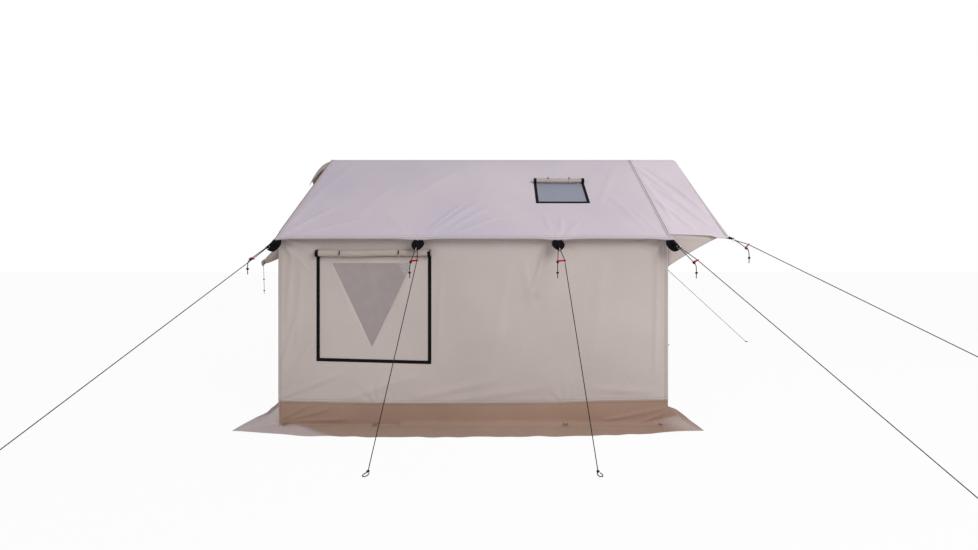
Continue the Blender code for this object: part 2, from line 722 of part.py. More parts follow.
# Sod cloth: a brown skirt sewn under the walls, that turns out over the ground with a wavy edge
sod_bend = 0.012
sod_heel = 0.0015
sod_tuck = 0.003
sod_tuck_length = 0.571
sod_flat = 0.1
sod_middle = 0.19
sod_wave = 0.014
sod_wave_length = 0.69
sod_scallop = 0.02
sod_scallop_length = 0.861
sod_start = door_edge + sod_door_gap
sod_corners = [
    (front_x, -sod_start),
    (front_x, -half_width),
    (rear_x, -half_width),
    (rear_x, half_width),
    (front_x, half_width),
    (front_x, sod_start),
]
sod_out = [(1, 0), (1, -1), (-1, -1), (-1, 1), (1, 1), (1, 0)]
sod_counts = (4, 18, 14, 18, 4)
sod_rows = [
    (0.0, sod_rise - seat),
    (sod_tuck, sod_rise * 0.45),
    (sod_bend * 0.5, sod_bend),
    (sod_bend * 1.6, half_cloth + sod_heel),
    (sod_flat, half_cloth),
    (sod_middle, half_cloth),
    (sod_spread, half_cloth),
]


def sod_mesh():
    """The skirt as one strip round the tent, from one side of the doorway to the other."""
    path, ways = [sod_corners[0]], [sod_out[0]]
    for a, b, wa, wb, count in zip(sod_corners, sod_corners[1:], sod_out, sod_out[1:], sod_counts):
        normal = tuple(p if p == q else 0 for p, q in zip(wa, wb))
        for k in range(1, count):
            path.append(tuple(p + (q - p) * k / count for p, q in zip(a, b)))
            ways.append(normal)
        path.append(b)
        ways.append(wb)
    path, ways = np.array(path, float), np.array(ways, float)
    run = np.concatenate([[0], np.cumsum(np.linalg.norm(np.diff(path, axis=0), axis=1))])
    corner = np.abs(ways).sum(axis=1) == 2

    def place(number, row_number):
        k, row = number.astype(int), row_number.astype(int)
        spread = np.array([r[0] for r in sod_rows])[row]
        height = np.array([r[1] for r in sod_rows])[row]
        turns = 2 * np.pi * run[k]
        calm = np.where(corner[k], 0, 1)
        edge = np.clip((spread - sod_flat) / (sod_spread - sod_flat), 0, 1) * calm
        scallop = sod_scallop * edge * (0.5 + 0.5 * np.sin(turns / sod_scallop_length + 0.6))
        wave = sod_wave * edge * (0.5 - 0.5 * np.cos(turns / sod_wave_length))
        fall = np.clip((sod_rise - height) / sod_rise, 0, 1) * (row <= 2) * calm
        out = spread - scallop + sod_tuck * fall * (1 + np.sin(turns / sod_tuck_length))
        middle = stacked(*(path[k][..., n] + ways[k][..., n] * out for n in (0, 1)), height + wave)
        upright = np.where(row < 2, 1.0, np.where(row == 2, 0.8, 0.0))
        level = np.where(row < 2, 0.0, np.where(row == 2, 0.6, 1.0))
        half = stacked(ways[k][..., 0] * upright, ways[k][..., 1] * upright, level) * half_cloth
        return middle, half

    return cloth_mesh(range(len(path)), range(len(sod_rows)), place)


# Peg loops: flat webbing loops sewn into the sod cloth at the foot of the walls
loop_length = 0.05
loop_width = 0.034
loop_bar = 0.007
loop_height = 0.021
loop_root = 0.003
loop_inset = 0.06
side_loop_shares = (0.252, 0.737)
rear_loop_shares = (-0.6, 0, 0.6)
loop_xs = [rear_x + share * tent_length for share in side_loop_shares]
loop_xs += [rear_x + loop_inset, front_x - loop_inset]
skirt = sod_mesh()


def loop_mesh(point, out):
    """One loop, lying outwards from the wall's foot."""
    out = Vector(out)
    side = Vector((0, 0, 1)).cross(out)
    outer = [(0, -loop_width / 2), (loop_length * 0.7, -loop_width / 2), (loop_length, -loop_width / 4)]
    outer += [(x, -y) for x, y in reversed(outer)]
    inner = [(loop_bar, -loop_width / 2 + loop_bar), (loop_length * 0.66, -loop_width / 2 + loop_bar)]
    inner += [(loop_length - loop_bar, 0)] + [(x, -y) for x, y in reversed(inner)]
    return plate_mesh([outer, inner], tape_thickness, axes_at(point, out, side, (0, 0, 1)))


loop_places = [((x, side * (half_width + loop_root)), (0, side, 0)) for side in (-1, 1) for x in loop_xs]
loop_places += [((rear_x - loop_root, y * half_width), (-1, 0, 0)) for y in rear_loop_shares]
for spot, out in loop_places:
    skirt = solid_of(skirt, loop_mesh((*spot, loop_height), out), "UNION")
add("sod_cloth", skirt, brown_cloth)

# Ridge port hood: a small canvas beak over the hole for the ridge pole in the rear gable
hood_reach = 0.2
hood_drop = 0.195
hood_half = 0.13
hood_lower = 0.016
hood_top = gable_gap + hood_lower
hood_lean = math.atan2(hood_drop, hood_reach)
hood_root = half_cloth + 2 * seat + half_cloth * math.sin(hood_lean)


def hood_place(y, share):
    """A roof-shaped beak that leans out and down, narrower at its lip."""
    wide = y * (1 - 0.25 * share)
    x = rear_x - hood_root - hood_reach * share
    z = ridge_mid - hood_top - np.abs(wide) * rise * (1 + 0.5 * share) - hood_drop * share**1.3
    half = stacked(-math.sin(hood_lean) + 0 * x, 0 * x, math.cos(hood_lean) + 0 * x) * half_cloth
    return stacked(x, wide, z), half


hood_shares = (-1, -0.7, -0.35, 0, 0.35, 0.7, 1)
hood_ys = [share * hood_half for share in hood_shares]
add("ridge_port_hood", cloth_mesh(hood_ys, steps(0, 1, 4), hood_place), trim_canvas)

# Cable sleeve: a gathered spout low in the rear gable's near corner, closed by a cord
sleeve_inset = 0.1
sleeve_lower = 0.11
sleeve_y = -(half_width - sleeve_inset)
sleeve_z = wall_height - sleeve_lower
sleeve_radius = 0.055
sleeve_reach = 0.17
sleeve_neck = 0.016
neck_share = 0.88
sleeve_profile = [
    (0, 0),
    (sleeve_radius, 0),
    (sleeve_radius * 0.86, sleeve_reach * 0.3),
    (sleeve_radius * 0.62, sleeve_reach * 0.6),
    (sleeve_neck, sleeve_reach * neck_share),
    (sleeve_radius * 0.4, sleeve_reach),
    (0, sleeve_reach * 0.97),
]
sleeve_droop = 0.7
sleeve_bow = 0.0008
sleeve_root = Vector((rear_x - half_cloth - sleeve_bow - seat, sleeve_y, sleeve_z))
sleeve_way = Vector((-1, 0, -sleeve_droop))
sleeve_place = axes_at(sleeve_root, (0, 1, 0), (0, 0, 1), sleeve_way)
add("cable_sleeve", turned_mesh(sleeve_profile, sleeve_place, 12), trim_canvas)


def cord_object(name, points, radius, knots, material):
    """A cord through points chosen by hand. Its knots are thicker places, by the points' numbers."""
    curve = bpy.data.curves.new(name, "CURVE")
    curve.dimensions = "3D"
    curve.bevel_depth = radius
    curve.bevel_resolution = 2
    curve.use_fill_caps = True
    spline = curve.splines.new("POLY")
    spline.points.add(len(points) - 1)
    for number, (spot, point) in enumerate(zip(spline.points, points)):
        spot.co = (*point, 1)
        spot.radius = knots.get(number, 1.0)
    curve.materials.append(material)
    thing = bpy.data.objects.new(name, curve)
    bpy.context.collection.objects.link(thing)
    return thing


drawstring_radius = 0.0016
neck = sleeve_root + sleeve_way * sleeve_reach * neck_share
drop_x = neck.x
drawstring_points = [
    (drop_x, sleeve_y - 0.0184, neck.z - 0.001),
    (drop_x - 0.001, sleeve_y - 0.019, neck.z - 0.014),
    (drop_x - 0.002, sleeve_y - 0.023, neck.z - 0.035),
    (drop_x - 0.002, sleeve_y - 0.022, neck.z - 0.065),
    (drop_x - 0.001, sleeve_y - 0.021, neck.z - 0.1),
    (drop_x, sleeve_y - 0.021, neck.z - 0.135),
    (drop_x, sleeve_y - 0.021, neck.z - 0.141),
    (drop_x, sleeve_y - 0.021, neck.z - 0.147),
    (drop_x, sleeve_y - 0.021, neck.z - 0.153),
    (drop_x + 0.001, sleeve_y - 0.02, neck.z - 0.185),
    (drop_x + 0.001, sleeve_y - 0.019, neck.z - 0.224),
    (drop_x + 0.001, sleeve_y - 0.019, neck.z - 0.23),
    (drop_x + 0.001, sleeve_y - 0.019, neck.z - 0.236),
    (drop_x + 0.001, sleeve_y - 0.019, neck.z - 0.242),
    (drop_x + 0.001, sleeve_y - 0.018, neck.z - 0.262),
]
drawstring_knots = {6: 2.0, 7: 2.0, 11: 2.0, 12: 2.0}
cord_object("sleeve_drawstring", drawstring_points, drawstring_radius, drawstring_knots, dark_rope)

# Guying points: a webbing patch sewn under the eave with a ring in its point, a rope and its slide
patch_half = 0.049
patch_height = 0.077
patch_thickness = 0.003
patch_inset = 0.005
patch_edge_gap = 0.003
patch_top_share = 0.8
patch_lap = half_cloth * 0.9
slide_length = 0.074
slide_width = 0.02
slide_thickness = 0.004
slide_play = 0.0013
slide_hole = rope_radius + slide_play
slide_pitch = 0.026
slide_drop = 0.085
eye_half = 0.012
knot_height = 0.009
rope_names = ("rear", "mid_rear", "mid_front", "front", "awning")
patch_shares = (1, 1, 1, 1, 0.5)
slide_drop_shares = (1.5, 1, 1, 1.85, 1.1)
slide_rolls = (0, 12, 12, 19, 31)
mid_rope_shares = (0.3633, 0.7141)
mid_rope_xs = [rear_x + share * tent_length for share in mid_rope_shares]
rope_xs = (roof_rear_x, *mid_rope_xs, roof_front_x, awning_x - awning_corner_back)
patch_insets = (patch_half * patch_top_share + patch_edge_gap, 0, 0, 0.007, 0.006)
rope_pulls = ((-1.23, 1.23), (-0.169, 0.81), (0.156, 0.81), (1.23, 1.23), (2.13, 1.55))


def ring_mesh(centre, normal, way, radius, wire):
    """A wire ring about a normal."""
    bm = bmesh.new()
    across = normal.cross(way)
    count, section = 12, 6
    rounds = []
    for k in range(count):
        angle = 2 * math.pi * k / count
        out = way * math.cos(angle) + across * math.sin(angle)
        spots = [2 * math.pi * (m + 0.5) / section for m in range(section)]
        points = [centre + out * (radius + wire * math.cos(a)) + normal * wire * math.sin(a) for a in spots]
        rounds.append([bm.verts.new(point) for point in points])
    for a, b in zip(rounds, rounds[1:] + rounds[:1]):
        for m in range(section):
            n = (m + 1) % section
            bm.faces.new([a[m], a[n], b[n], b[m]])
    return mesh_of(bm)


def patch_mesh(top, way, share):
    """A pentagon under the eave, sewn into it along its top edge and drawn out along its rope."""
    half, height = patch_half * share, patch_height * share
    outline = [(-patch_top_share * half, 0), (patch_top_share * half, 0)]
    outline += [(half, height * 0.35), (half * 0.28, height)]
    outline += [(-half * 0.28, height), (-half, height * 0.35)]
    along = Vector((1, 0, 0))
    across = (way - along * way.x).normalized()
    outline = [(u + v * way.x, v * way.dot(across)) for u, v in outline]
    return plate_mesh([outline], patch_thickness, axes_at(top, along, across, along.cross(across)))


for side, side_word in ((-1, "near"), (1, "far")):
    rope_rows = zip(rope_names, rope_xs, rope_pulls, patch_insets, patch_shares, slide_drop_shares, slide_rolls)
    for place_word, rope_x, pull, inward, patch_share, drop_share, roll in rope_rows:
        word = place_word + "_" + side_word
        plan = Vector((pull[0], side * pull[1], 0)).normalized()
        ground = Vector((rope_x + pull[0], side * (eave_y + pull[1]), 0.0))
        edge_y = awning_edge(1) if place_word == "awning" else eave_y
        patch_y = side * (edge_y - patch_inset)
        patch_z = ridge_mid - abs(patch_y) * rise - patch_lap
        patch_top = Vector((rope_x - math.copysign(inward, pull[0]), patch_y, patch_z))
        way = (ground - patch_top).normalized()
        tip = patch_top + way * patch_height * patch_share
        ring_centre = tip + way * (ring_radius + ring_wire * 0.3)
        level = way.cross(Vector((0, 0, -side))).normalized()
        across = level * math.cos(math.radians(roll)) - way.cross(level) * side * math.sin(math.radians(roll))
        patch = patch_mesh(patch_top, way, patch_share)
        patch = solid_of(patch, ring_mesh(ring_centre, level, way, ring_radius, ring_wire), "UNION")
        if place_word == "awning":
            awning_mesh = solid_of(awning_mesh, patch, "UNION")
        else:
            roof_mesh = solid_of(roof_mesh, patch, "UNION")
        # The rope turns through the ring, and both its strands spread to the ends of the slide
        lift = Vector((0, 0, knot_height))
        eye_top = ring_centre + way * (ring_radius - ring_wire - seat - rope_radius)
        eye_centre = eye_top + way * eye_half
        slide_centre = ring_centre + way * (ring_radius + slide_drop * drop_share)
        standing = slide_centre - across * slide_pitch
        loose = slide_centre + across * slide_pitch
        ground_way = (ground + lift - standing).normalized()
        eye = [
            eye_centre - level * eye_half * math.cos(a) - way * eye_half * math.sin(a)
            for a in [math.pi * k / 6 for k in range(7)]
        ]
        # On the ground the rope ends in a loop for a peg, closed by a knot
        knot = ground + lift
        low = Vector((0, 0, rope_radius * 1.1 - knot_height))
        ground_loop = [
            knot + plan * 0.006 - level * 0.0105 + low,
            knot + plan * 0.022 - level * 0.015 + low,
            knot + plan * 0.045 - level * 0.013 + low,
            knot + plan * 0.058 + low,
            knot + plan * 0.045 + level * 0.013 + low,
            knot + plan * 0.022 + level * 0.013 + low * 0.9,
            knot + plan * 0.006 + level * 0.002 + low * 0.2,
            knot - ground_way * 0.008,
        ]
        loose_way = (loose - eye[-1]).normalized()
        below = loose + loose_way * (slide_thickness / 2 + 0.0014)
        tail_top = below + loose_way * 0.014
        points = ground_loop + [
            knot - ground_way * 0.018,
            standing + ground_way * 0.02,
            standing - ground_way * 0.004,
            *eye,
            below,
            below + loose_way * 0.003,
            below + loose_way * 0.010,
            tail_top,
            tail_top + loose_way * 0.012 + down * 0.012,
            tail_top + loose_way * 0.016 + down * 0.05,
            tail_top + loose_way * 0.016 + down * 0.054,
            tail_top + loose_way * 0.016 + down * 0.062,
            tail_top + loose_way * 0.016 + down * 0.066,
            tail_top + loose_way * 0.014 + down * 0.10,
        ]
        first = len(ground_loop) + 3 + len(eye)
        knots = {6: 1.7, 7: 1.7, first + 1: 1.75, first + 2: 1.75, first + 6: 1.75, first + 7: 1.75}
        cord_object("guy_rope_" + word, points, rope_radius, knots, dark_rope)
        # The slide lies square to the standing rope, with a hole at each end and one in the middle
        turn = ground_way.cross(across).normalized()
        long_way = turn.cross(ground_way)
        half_run = slide_length / 2 - slide_width / 2
        cap = [
            (half_run + slide_width / 2 * math.cos(a), slide_width / 2 * math.sin(a))
            for a in [math.pi * (k / 4 - 0.5) for k in range(5)]
        ]
        holes = [circle(slide_hole, 8, (shift * slide_pitch, 0)) for shift in (-1, 0, 1)]
        slide_place = axes_at(slide_centre, long_way, turn, long_way.cross(turn))
        slide = plate_mesh([cap + [(-x, -y) for x, y in cap], *holes], slide_thickness, slide_place)
        add("tensioner_" + word, slide, red_slide, standing)
add("roof", roof_mesh, roof_canvas)
add("awning", awning_mesh, roof_canvas)
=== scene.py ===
"""The looks of a canvas wall tent: cloth, webbing, ropes and a steel tube frame.

Metres, +Z up. X runs along the ridge, with the door and the awning at +X. The near side is -Y.
"""

import math

import bmesh
import bpy
import numpy as np
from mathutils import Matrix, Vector


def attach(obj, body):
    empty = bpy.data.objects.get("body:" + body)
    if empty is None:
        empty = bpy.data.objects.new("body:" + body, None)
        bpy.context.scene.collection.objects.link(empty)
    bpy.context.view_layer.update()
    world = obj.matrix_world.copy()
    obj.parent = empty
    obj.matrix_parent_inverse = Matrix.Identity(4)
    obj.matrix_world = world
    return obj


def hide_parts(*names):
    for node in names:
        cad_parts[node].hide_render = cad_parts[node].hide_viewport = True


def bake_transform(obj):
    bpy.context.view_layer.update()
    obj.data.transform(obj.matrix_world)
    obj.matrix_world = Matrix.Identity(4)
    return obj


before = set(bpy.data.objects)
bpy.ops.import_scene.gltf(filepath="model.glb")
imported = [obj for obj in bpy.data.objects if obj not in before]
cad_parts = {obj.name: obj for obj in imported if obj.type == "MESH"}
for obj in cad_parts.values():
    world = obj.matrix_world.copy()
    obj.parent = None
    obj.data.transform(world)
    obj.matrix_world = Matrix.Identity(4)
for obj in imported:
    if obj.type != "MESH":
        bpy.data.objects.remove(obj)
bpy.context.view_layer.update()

# The camera: the photograph's level view of the near side wall, from 1.28 m above the ground.
# The tent's level lines meet a little to the right of the picture's middle and above it,
# so the picture is shifted by that much.
picture_width, picture_height = 978, 550
focal_pixels = 497.5
meeting_point = (503.0, 262.0)
eye = bpy.data.cameras.new("camera")
eye.sensor_width = 36.0
eye.lens = focal_pixels / picture_width * eye.sensor_width
eye.shift_x = -(meeting_point[0] - picture_width / 2) / picture_width
eye.shift_y = -(picture_height / 2 - meeting_point[1]) / picture_width
eye.clip_end = 200.0
camera = bpy.data.objects.new("camera", eye)
camera.location = (0.114, -5.116, 1.28)
camera.rotation_euler = (math.pi / 2, 0, 0)
bpy.context.collection.objects.link(camera)
bpy.context.scene.camera = camera

# Guy ropes: ten braided 6 mm polyester cords, each turned through the ring of its patch and through
# a slide that sets its length. The standing part ends on the ground in a loop for a peg, closed by a
# knot, and the tail ends in a knot below the slide. Routes, rings and slides are the solids' own.
both_sides = ((-1, "near"), (1, "far"))
half_length, half_width = 1.525, 1.22
rear_x = -1.644
front_x = rear_x + 2 * half_length
ridge_z, eave_y, pitch = 2.32879, 1.29, math.atan2(0.83, 1.22)
rise = math.tan(pitch)
rope_radius, turn_radius, knot_size = 0.003, 0.012, 0.0085
ring_radius, ring_wire = 0.013, 0.002
patch_half, patch_height = 0.049, 0.077
slide_step, slide_half = 0.085, 0.026
awning_corner_y = half_width + 0.034
# Each row: its name, where its pull starts along X, its pull over the ground, how far in its patch
# sits, the size of the patch, the slide's distance in slide steps, and the slide's roll in degrees
rope_rows = (
    ("rear", rear_x - 0.022, (-1.23, 1.23), 0.0422, 1.0, 1.5, 0),
    ("mid_rear", rear_x + 1.1081, (-0.169, 0.81), 0.0, 1.0, 1.0, 12),
    ("mid_front", rear_x + 2.178, (0.156, 0.81), 0.0, 1.0, 1.0, 12),
    ("front", front_x + 0.001, (1.23, 1.23), 0.007, 1.0, 1.85, 19),
    ("awning", front_x + 0.459, (2.13, 1.55), 0.006, 0.5, 1.1, 31),
)
# The peg loop, from its knot: how far ahead, how far aside, and the share of the drop to the ground
peg_loop = ((0.006, 0.002, 0.2), (0.022, 0.013, 0.9), (0.045, 0.013, 1), (0.058, 0, 1),
            (0.045, -0.013, 1), (0.022, -0.015, 1), (0.006, -0.0105, 1))
# The tail, from where it leaves the slide: how far ahead and how far down
tail_falls = ((0.012, 0.012), (0.016, 0.05), (0.016, 0.066), (0.014, 0.1))
tail_knot_fall = (0.016, 0.058)


def linear(code):
    """The linear colour of an sRGB hex code: the power curve of the standard, taken off."""
    shares = [int(code[k : k + 2], 16) / 255 for k in (0, 2, 4)]
    return [c / 12.92 if c <= 0.04045 else ((c + 0.055) / 1.055) ** 2.4 for c in shares] + [1.0]


def tree_of(owner):
    """The node tree of a new material or world."""
    owner.use_nodes = True
    return owner.node_tree


def join(tree, node, links):
    """Gives each named socket of a node a value, or another node's output."""
    for socket, value in links.items():
        if isinstance(value, bpy.types.NodeSocket):
            tree.links.new(value, node.inputs[socket])
        else:
            node.inputs[socket].default_value = value


def wire(tree, kind, links, output=0, **settings):
    """Adds one node with its settings and links, and gives one of its outputs."""
    made = tree.nodes.new("ShaderNode" + kind)
    for word, value in settings.items():
        setattr(made, word, value)
    join(tree, made, links)
    return made.outputs[output]


def xyz(*axes):
    """Points from their coordinates, each an array or a number."""
    return np.stack(np.broadcast_arrays(*axes), -1)


def grid(us, vs):
    """Two arrays that give each grid point's first and second value."""
    return np.meshgrid(np.asarray(us, float), np.asarray(vs, float), indexing="ij")


def part_of(points, flat, keep=None):
    """The points, faces and UV pairs of one grid, or of those of its cells that are kept."""
    rows, columns = points.shape[:2]
    corner = np.arange(rows * columns).reshape(rows, columns)
    quads = xyz(corner[:-1, :-1], corner[1:, :-1], corner[1:, 1:], corner[:-1, 1:])
    faces = quads.reshape(-1, 4) if keep is None else quads[keep]
    used, numbers = np.unique(faces, return_inverse=True)
    uv = flat.reshape(-1, 2)[faces.reshape(-1)]
    return points.reshape(-1, 3)[used], numbers.reshape(-1, 4).tolist(), uv


def joined(parts):
    """Several (points, faces, uv) groups as one."""
    faces, start = [], 0
    for points, part_faces, _ in parts:
        faces += [[v + start for v in face] for face in part_faces]
        start += len(points)
    return np.vstack([part[0] for part in parts]), faces, np.vstack([part[2] for part in parts])


def run_of(line):
    """How far along a line each of its points is."""
    return np.append(0, np.cumsum(np.linalg.norm(np.diff(line, axis=0), axis=1)))


def smooth_route(route, step):
    """A curve through a route's points: cubic pieces whose slopes follow the chord beside them."""
    route = np.array(route, float)
    wide = np.vstack([2 * route[:1] - route[1:2], route, 2 * route[-1:] - route[-2:-1]])
    slope = wide[2:] - wide[:-2]
    gaps = np.linalg.norm(np.diff(route, axis=0), axis=1)
    counts = np.maximum(1, np.ceil(gaps / step).astype(int))
    limit = np.concatenate([gaps[:1], np.minimum(gaps[:-1], gaps[1:]), gaps[-1:]])
    slope *= (limit / np.maximum(np.linalg.norm(slope, axis=1), 1e-9))[:, None]
    k = np.repeat(np.arange(len(gaps)), counts)
    t = np.concatenate([np.arange(n) / n for n in counts])[:, None]
    line = (2 * t**3 - 3 * t**2 + 1) * route[k] + (t**3 - 2 * t**2 + t) * slope[k]
    line += (3 * t**2 - 2 * t**3) * route[k + 1] + (t**3 - t**2) * slope[k + 1]
    return np.vstack([line, route[-1:]])


def tube_along(line, radii, sides=10):
    """A round tube: circles of the given radii in planes square to the line, carried without twist.

    Its UV map is the run along the line and the run round it, in metres.
    """
    line = np.array(line, float)
    radii = np.broadcast_to(radii, len(line)).astype(float)
    ahead = np.gradient(line, axis=0)
    ahead /= np.linalg.norm(ahead, axis=1)[:, None]
    side = np.cross(ahead[0], (0.1, 0.3, 1.0))
    across = np.empty_like(ahead)
    for k, way in enumerate(ahead):
        side = side - way * (side @ way)
        side = side / np.linalg.norm(side)
        across[k] = side
    angle = np.linspace(0, 2 * np.pi, sides + 1)[:, None]
    ring = across[:, None] * np.cos(angle) + np.cross(ahead, across)[:, None] * np.sin(angle)
    run = run_of(line)
    flat = xyz(run[:, None], np.arange(sides + 1) * (2 * np.pi * radii.mean() / sides))
    points, faces, uv = part_of(line[:, None] + ring * radii[:, None, None], flat)
    end = len(points) - 1
    caps = [list(range(sides))[::-1], list(range(end - sides, end))]
    return points, faces + caps, np.vstack([uv, [(run[0], 0.0)] * sides, [(run[-1], 0.0)] * sides])


def knot_tube(place, way, size, radius=rope_radius):
    """A stopper knot: a tube on a trefoil, whose three lobes turn twice round the rope."""
    t = np.linspace(0, 2 * np.pi, 49)
    lobe = 0.55 + 0.42 * np.cos(3 * t)
    flat = xyz(lobe * np.cos(2 * t), lobe * np.sin(2 * t), 0.55 * np.sin(3 * t)) * size
    way = np.array(way) / np.linalg.norm(way)
    side = np.cross(way, (0.3, 0.2, 1.0))
    side /= np.linalg.norm(side)
    line = np.array(place) + flat[:, :1] * side + flat[:, 1:2] * np.cross(way, side) + flat[:, 2:] * way
    return tube_along(line, radius * 0.95, 8)


def piece(name, points, faces, uv, material, pale=None):
    """A mesh object at the origin from points, faces and one UV pair for each face corner.

    Points in one place are made one, and the faces are turned outwards. pale is one share for each
    point, of the paler tint of painted light that its material may have.
    """
    mesh = bpy.data.meshes.new(name)
    mesh.from_pydata(np.asarray(points, float).tolist(), [], faces)
    mesh.uv_layers.new(name="UVMap").data.foreach_set("uv", np.asarray(uv, np.float32).reshape(-1))
    if pale is not None:
        shares = np.asarray(pale, np.float32)
        mesh.attributes.new("pale", "FLOAT", "POINT").data.foreach_set("value", shares)
    form = bmesh.new()
    form.from_mesh(mesh)
    bmesh.ops.remove_doubles(form, verts=form.verts, dist=1e-6)
    bmesh.ops.recalc_face_normals(form, faces=form.faces)
    form.to_mesh(mesh)
    form.free()
    mesh.materials.append(material)
    mesh.polygons.foreach_set("use_smooth", np.full(len(mesh.polygons), True))
    made = bpy.data.objects.new(name, mesh)
    bpy.context.collection.objects.link(made)
    return made


def settle(made, body, slot, *nodes):
    """What a piece needs: its body and the solids that it stands for. slot is not used."""
    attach(made, body)
    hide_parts(*nodes)
    return made


# Braided polyester cord: a sheath of dark grey yarns that cross at 45 degrees. The yarns are drawn
# 1.6 mm wide, twice their real width, so that the braid shows. It is dull, and its yarns' crowns are
# painted lighter than the gaps between them: painted light.
yarn_width = 0.0016
braided_cord = bpy.data.materials.new("braided_polyester_cord")
tree = tree_of(braided_cord)
along, around = [wire(tree, "SeparateXYZ", {0: wire(tree, "UVMap", {})}, number) for number in (0, 1)]
braid = 1.0
for way in ("ADD", "SUBTRACT"):
    slant = wire(tree, "Math", {0: along, 1: around}, operation=way)
    turn = wire(tree, "Math", {0: slant, 1: math.pi / yarn_width}, operation="MULTIPLY")
    crowns = wire(tree, "Math", {0: turn}, operation="SINE")
    braid = wire(tree, "Math", {0: crowns, 1: braid}, operation="MULTIPLY")
shade = wire(tree, "MapRange", {0: braid, 1: -1.0, 2: 1.0})
# Painted light: the tint follows the braid's height, lighter on the crowns and darker between yarns.
tint = wire(tree, "Mix", {0: shade, 6: linear("0F0F11"), 7: linear("232326")}, 2, data_type="RGBA")
bump = wire(tree, "Bump", {"Height": shade, "Strength": 0.6, "Distance": 0.0004})
join(tree, tree.nodes["Principled BSDF"],
     {"Base Color": tint, "Normal": bump, "Roughness": 0.75, "Specular IOR Level": 0.2})
down = Vector((0, 0, -1))
rope_lines = {}
for side, side_word in both_sides:
    for place_word, rope_x, pull, inward, patch_share, drop_share, roll in rope_rows:
        word = place_word + "_" + side_word
        plan = Vector((pull[0], side * pull[1], 0)).normalized()
        ground = Vector((rope_x + pull[0], side * (eave_y + pull[1]), 0.0))
        patch_x = rope_x - math.copysign(inward, pull[0])
        patch_y = side * ((awning_corner_y if place_word == "awning" else eave_y) - 0.005)
        patch_top = Vector((patch_x, patch_y, ridge_z - abs(patch_y) * rise - 0.0009))
        way = (ground - patch_top).normalized()
        ring_centre = patch_top + way * (patch_height * patch_share + ring_radius + ring_wire * 0.3)
        level = way.cross(Vector((0, 0, -side))).normalized()
        angle = math.radians(roll)
        across = level * math.cos(angle) - way.cross(level) * side * math.sin(angle)
        turn_centre = ring_centre + way * (ring_radius - ring_wire - 0.0003 - rope_radius + turn_radius)
        slide_centre = ring_centre + way * (ring_radius + slide_step * drop_share)
        standing, loose = slide_centre - across * slide_half, slide_centre + across * slide_half
        knot = ground + Vector((0, 0, 0.009))
        ground_way = (knot - standing).normalized()
        arc = []
        for angle in (math.pi * k / 6 for k in range(7)):
            aside, ahead = level * turn_radius * math.cos(angle), way * turn_radius * math.sin(angle)
            arc.append(turn_centre - aside - ahead)
        low = Vector((0, 0, rope_radius * 1.1 - 0.009))
        standing_route = [
            *arc[3::-1],
            standing - ground_way * 0.004,
            standing + ground_way * 0.02,
            standing.lerp(knot, 0.3),
            standing.lerp(knot, 0.6),
            knot - ground_way * 0.05,
            knot - ground_way * 0.008,
            *[knot + plan * ahead + level * aside + low * drop for ahead, aside, drop in peg_loop],
        ]
        loose_way = (loose - arc[-1]).normalized()
        below = loose + loose_way * 0.0034
        tail_top = below + loose_way * 0.014
        tail_route = [*arc[3:], below, below + loose_way * 0.010, tail_top]
        tail_route += [tail_top + loose_way * ahead + down * fall for ahead, fall in tail_falls]
        standing_line, tail_line = smooth_route(standing_route, 0.006), smooth_route(tail_route, 0.004)
        rope_lines[word] = (patch_top, way, level, ring_centre), patch_share
        standing_rope = piece("rope_standing_" + word, *tube_along(standing_line, rope_radius), braided_cord)
        stop = knot_tube(knot - ground_way * 0.002, ground_way, knot_size)
        ground_knot = piece("rope_knot_ground_" + word, *stop, braided_cord)
        tail_rope = piece("rope_tail_" + word, *tube_along(tail_line, rope_radius), braided_cord)
        tail_end = tail_top + loose_way * tail_knot_fall[0] + down * tail_knot_fall[1]
        slide_knot = knot_tube(below + loose_way * 0.0075, loose_way, knot_size)
        stops = [slide_knot, knot_tube(tail_end, down, knot_size)]
        tail_knots = piece("rope_knots_tail_" + word, *joined(stops), braided_cord)
        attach(standing_rope, "tent")
        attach(ground_knot, "tent")
        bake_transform(tail_rope)
        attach(tail_knots, "tensioner_" + word)
        for rope, line, lay, knots in ((standing_rope, standing_line, "taut", ground_knot),
                                       (tail_rope, tail_line, "hanging", tail_knots)):
            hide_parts("guy_rope_" + word)

# The cable sleeve's drawstring: a 3 mm cord of the same braid round the sleeve's neck. It hangs from
# there with two knots in it, and its end is drawn into a knot as well.
sleeve_root = np.array((rear_x - 0.0021, 0.1 - half_width, 1.39))
sleeve_way = np.array((-1, 0, -0.7))
sleeve_reach, neck_share, neck_radius = 0.17, 0.88, 0.016
neck = sleeve_root + sleeve_way * sleeve_reach * neck_share
string_radius = 0.0016
collar_radius = neck_radius + string_radius
falls = [(0, -0.0184, -0.001), (-0.001, -0.019, -0.014), (-0.002, -0.023, -0.035), (-0.002, -0.022, -0.065),
         (-0.001, -0.021, -0.1), (0, -0.021, -0.135), (0, -0.021, -0.153), (0.001, -0.02, -0.185),
         (0.001, -0.019, -0.224), (0.001, -0.019, -0.242), (0.001, -0.018, -0.262)]
string_line = smooth_route([neck + np.array(fall) for fall in falls], 0.003)
drawstring = piece("drawstring", *tube_along(string_line, string_radius, 8), braided_cord)
turn = np.linspace(0, 2 * np.pi, 49)
collar_line = neck + xyz(0.0, collar_radius * np.cos(turn), collar_radius * np.sin(turn))
collar_parts = [tube_along(collar_line, string_radius, 8)]
for fall in ((0, -0.021, -0.144), (0.001, -0.019, -0.233)):
    collar_parts.append(knot_tube(neck + np.array(fall), (0, 0, -1), 0.0052, 0.002))
string_knots = piece("drawstring_knots", *joined(collar_parts), braided_cord)
for made in (drawstring, string_knots):
    settle(made, "tent", "dark_rope", "sleeve_drawstring")
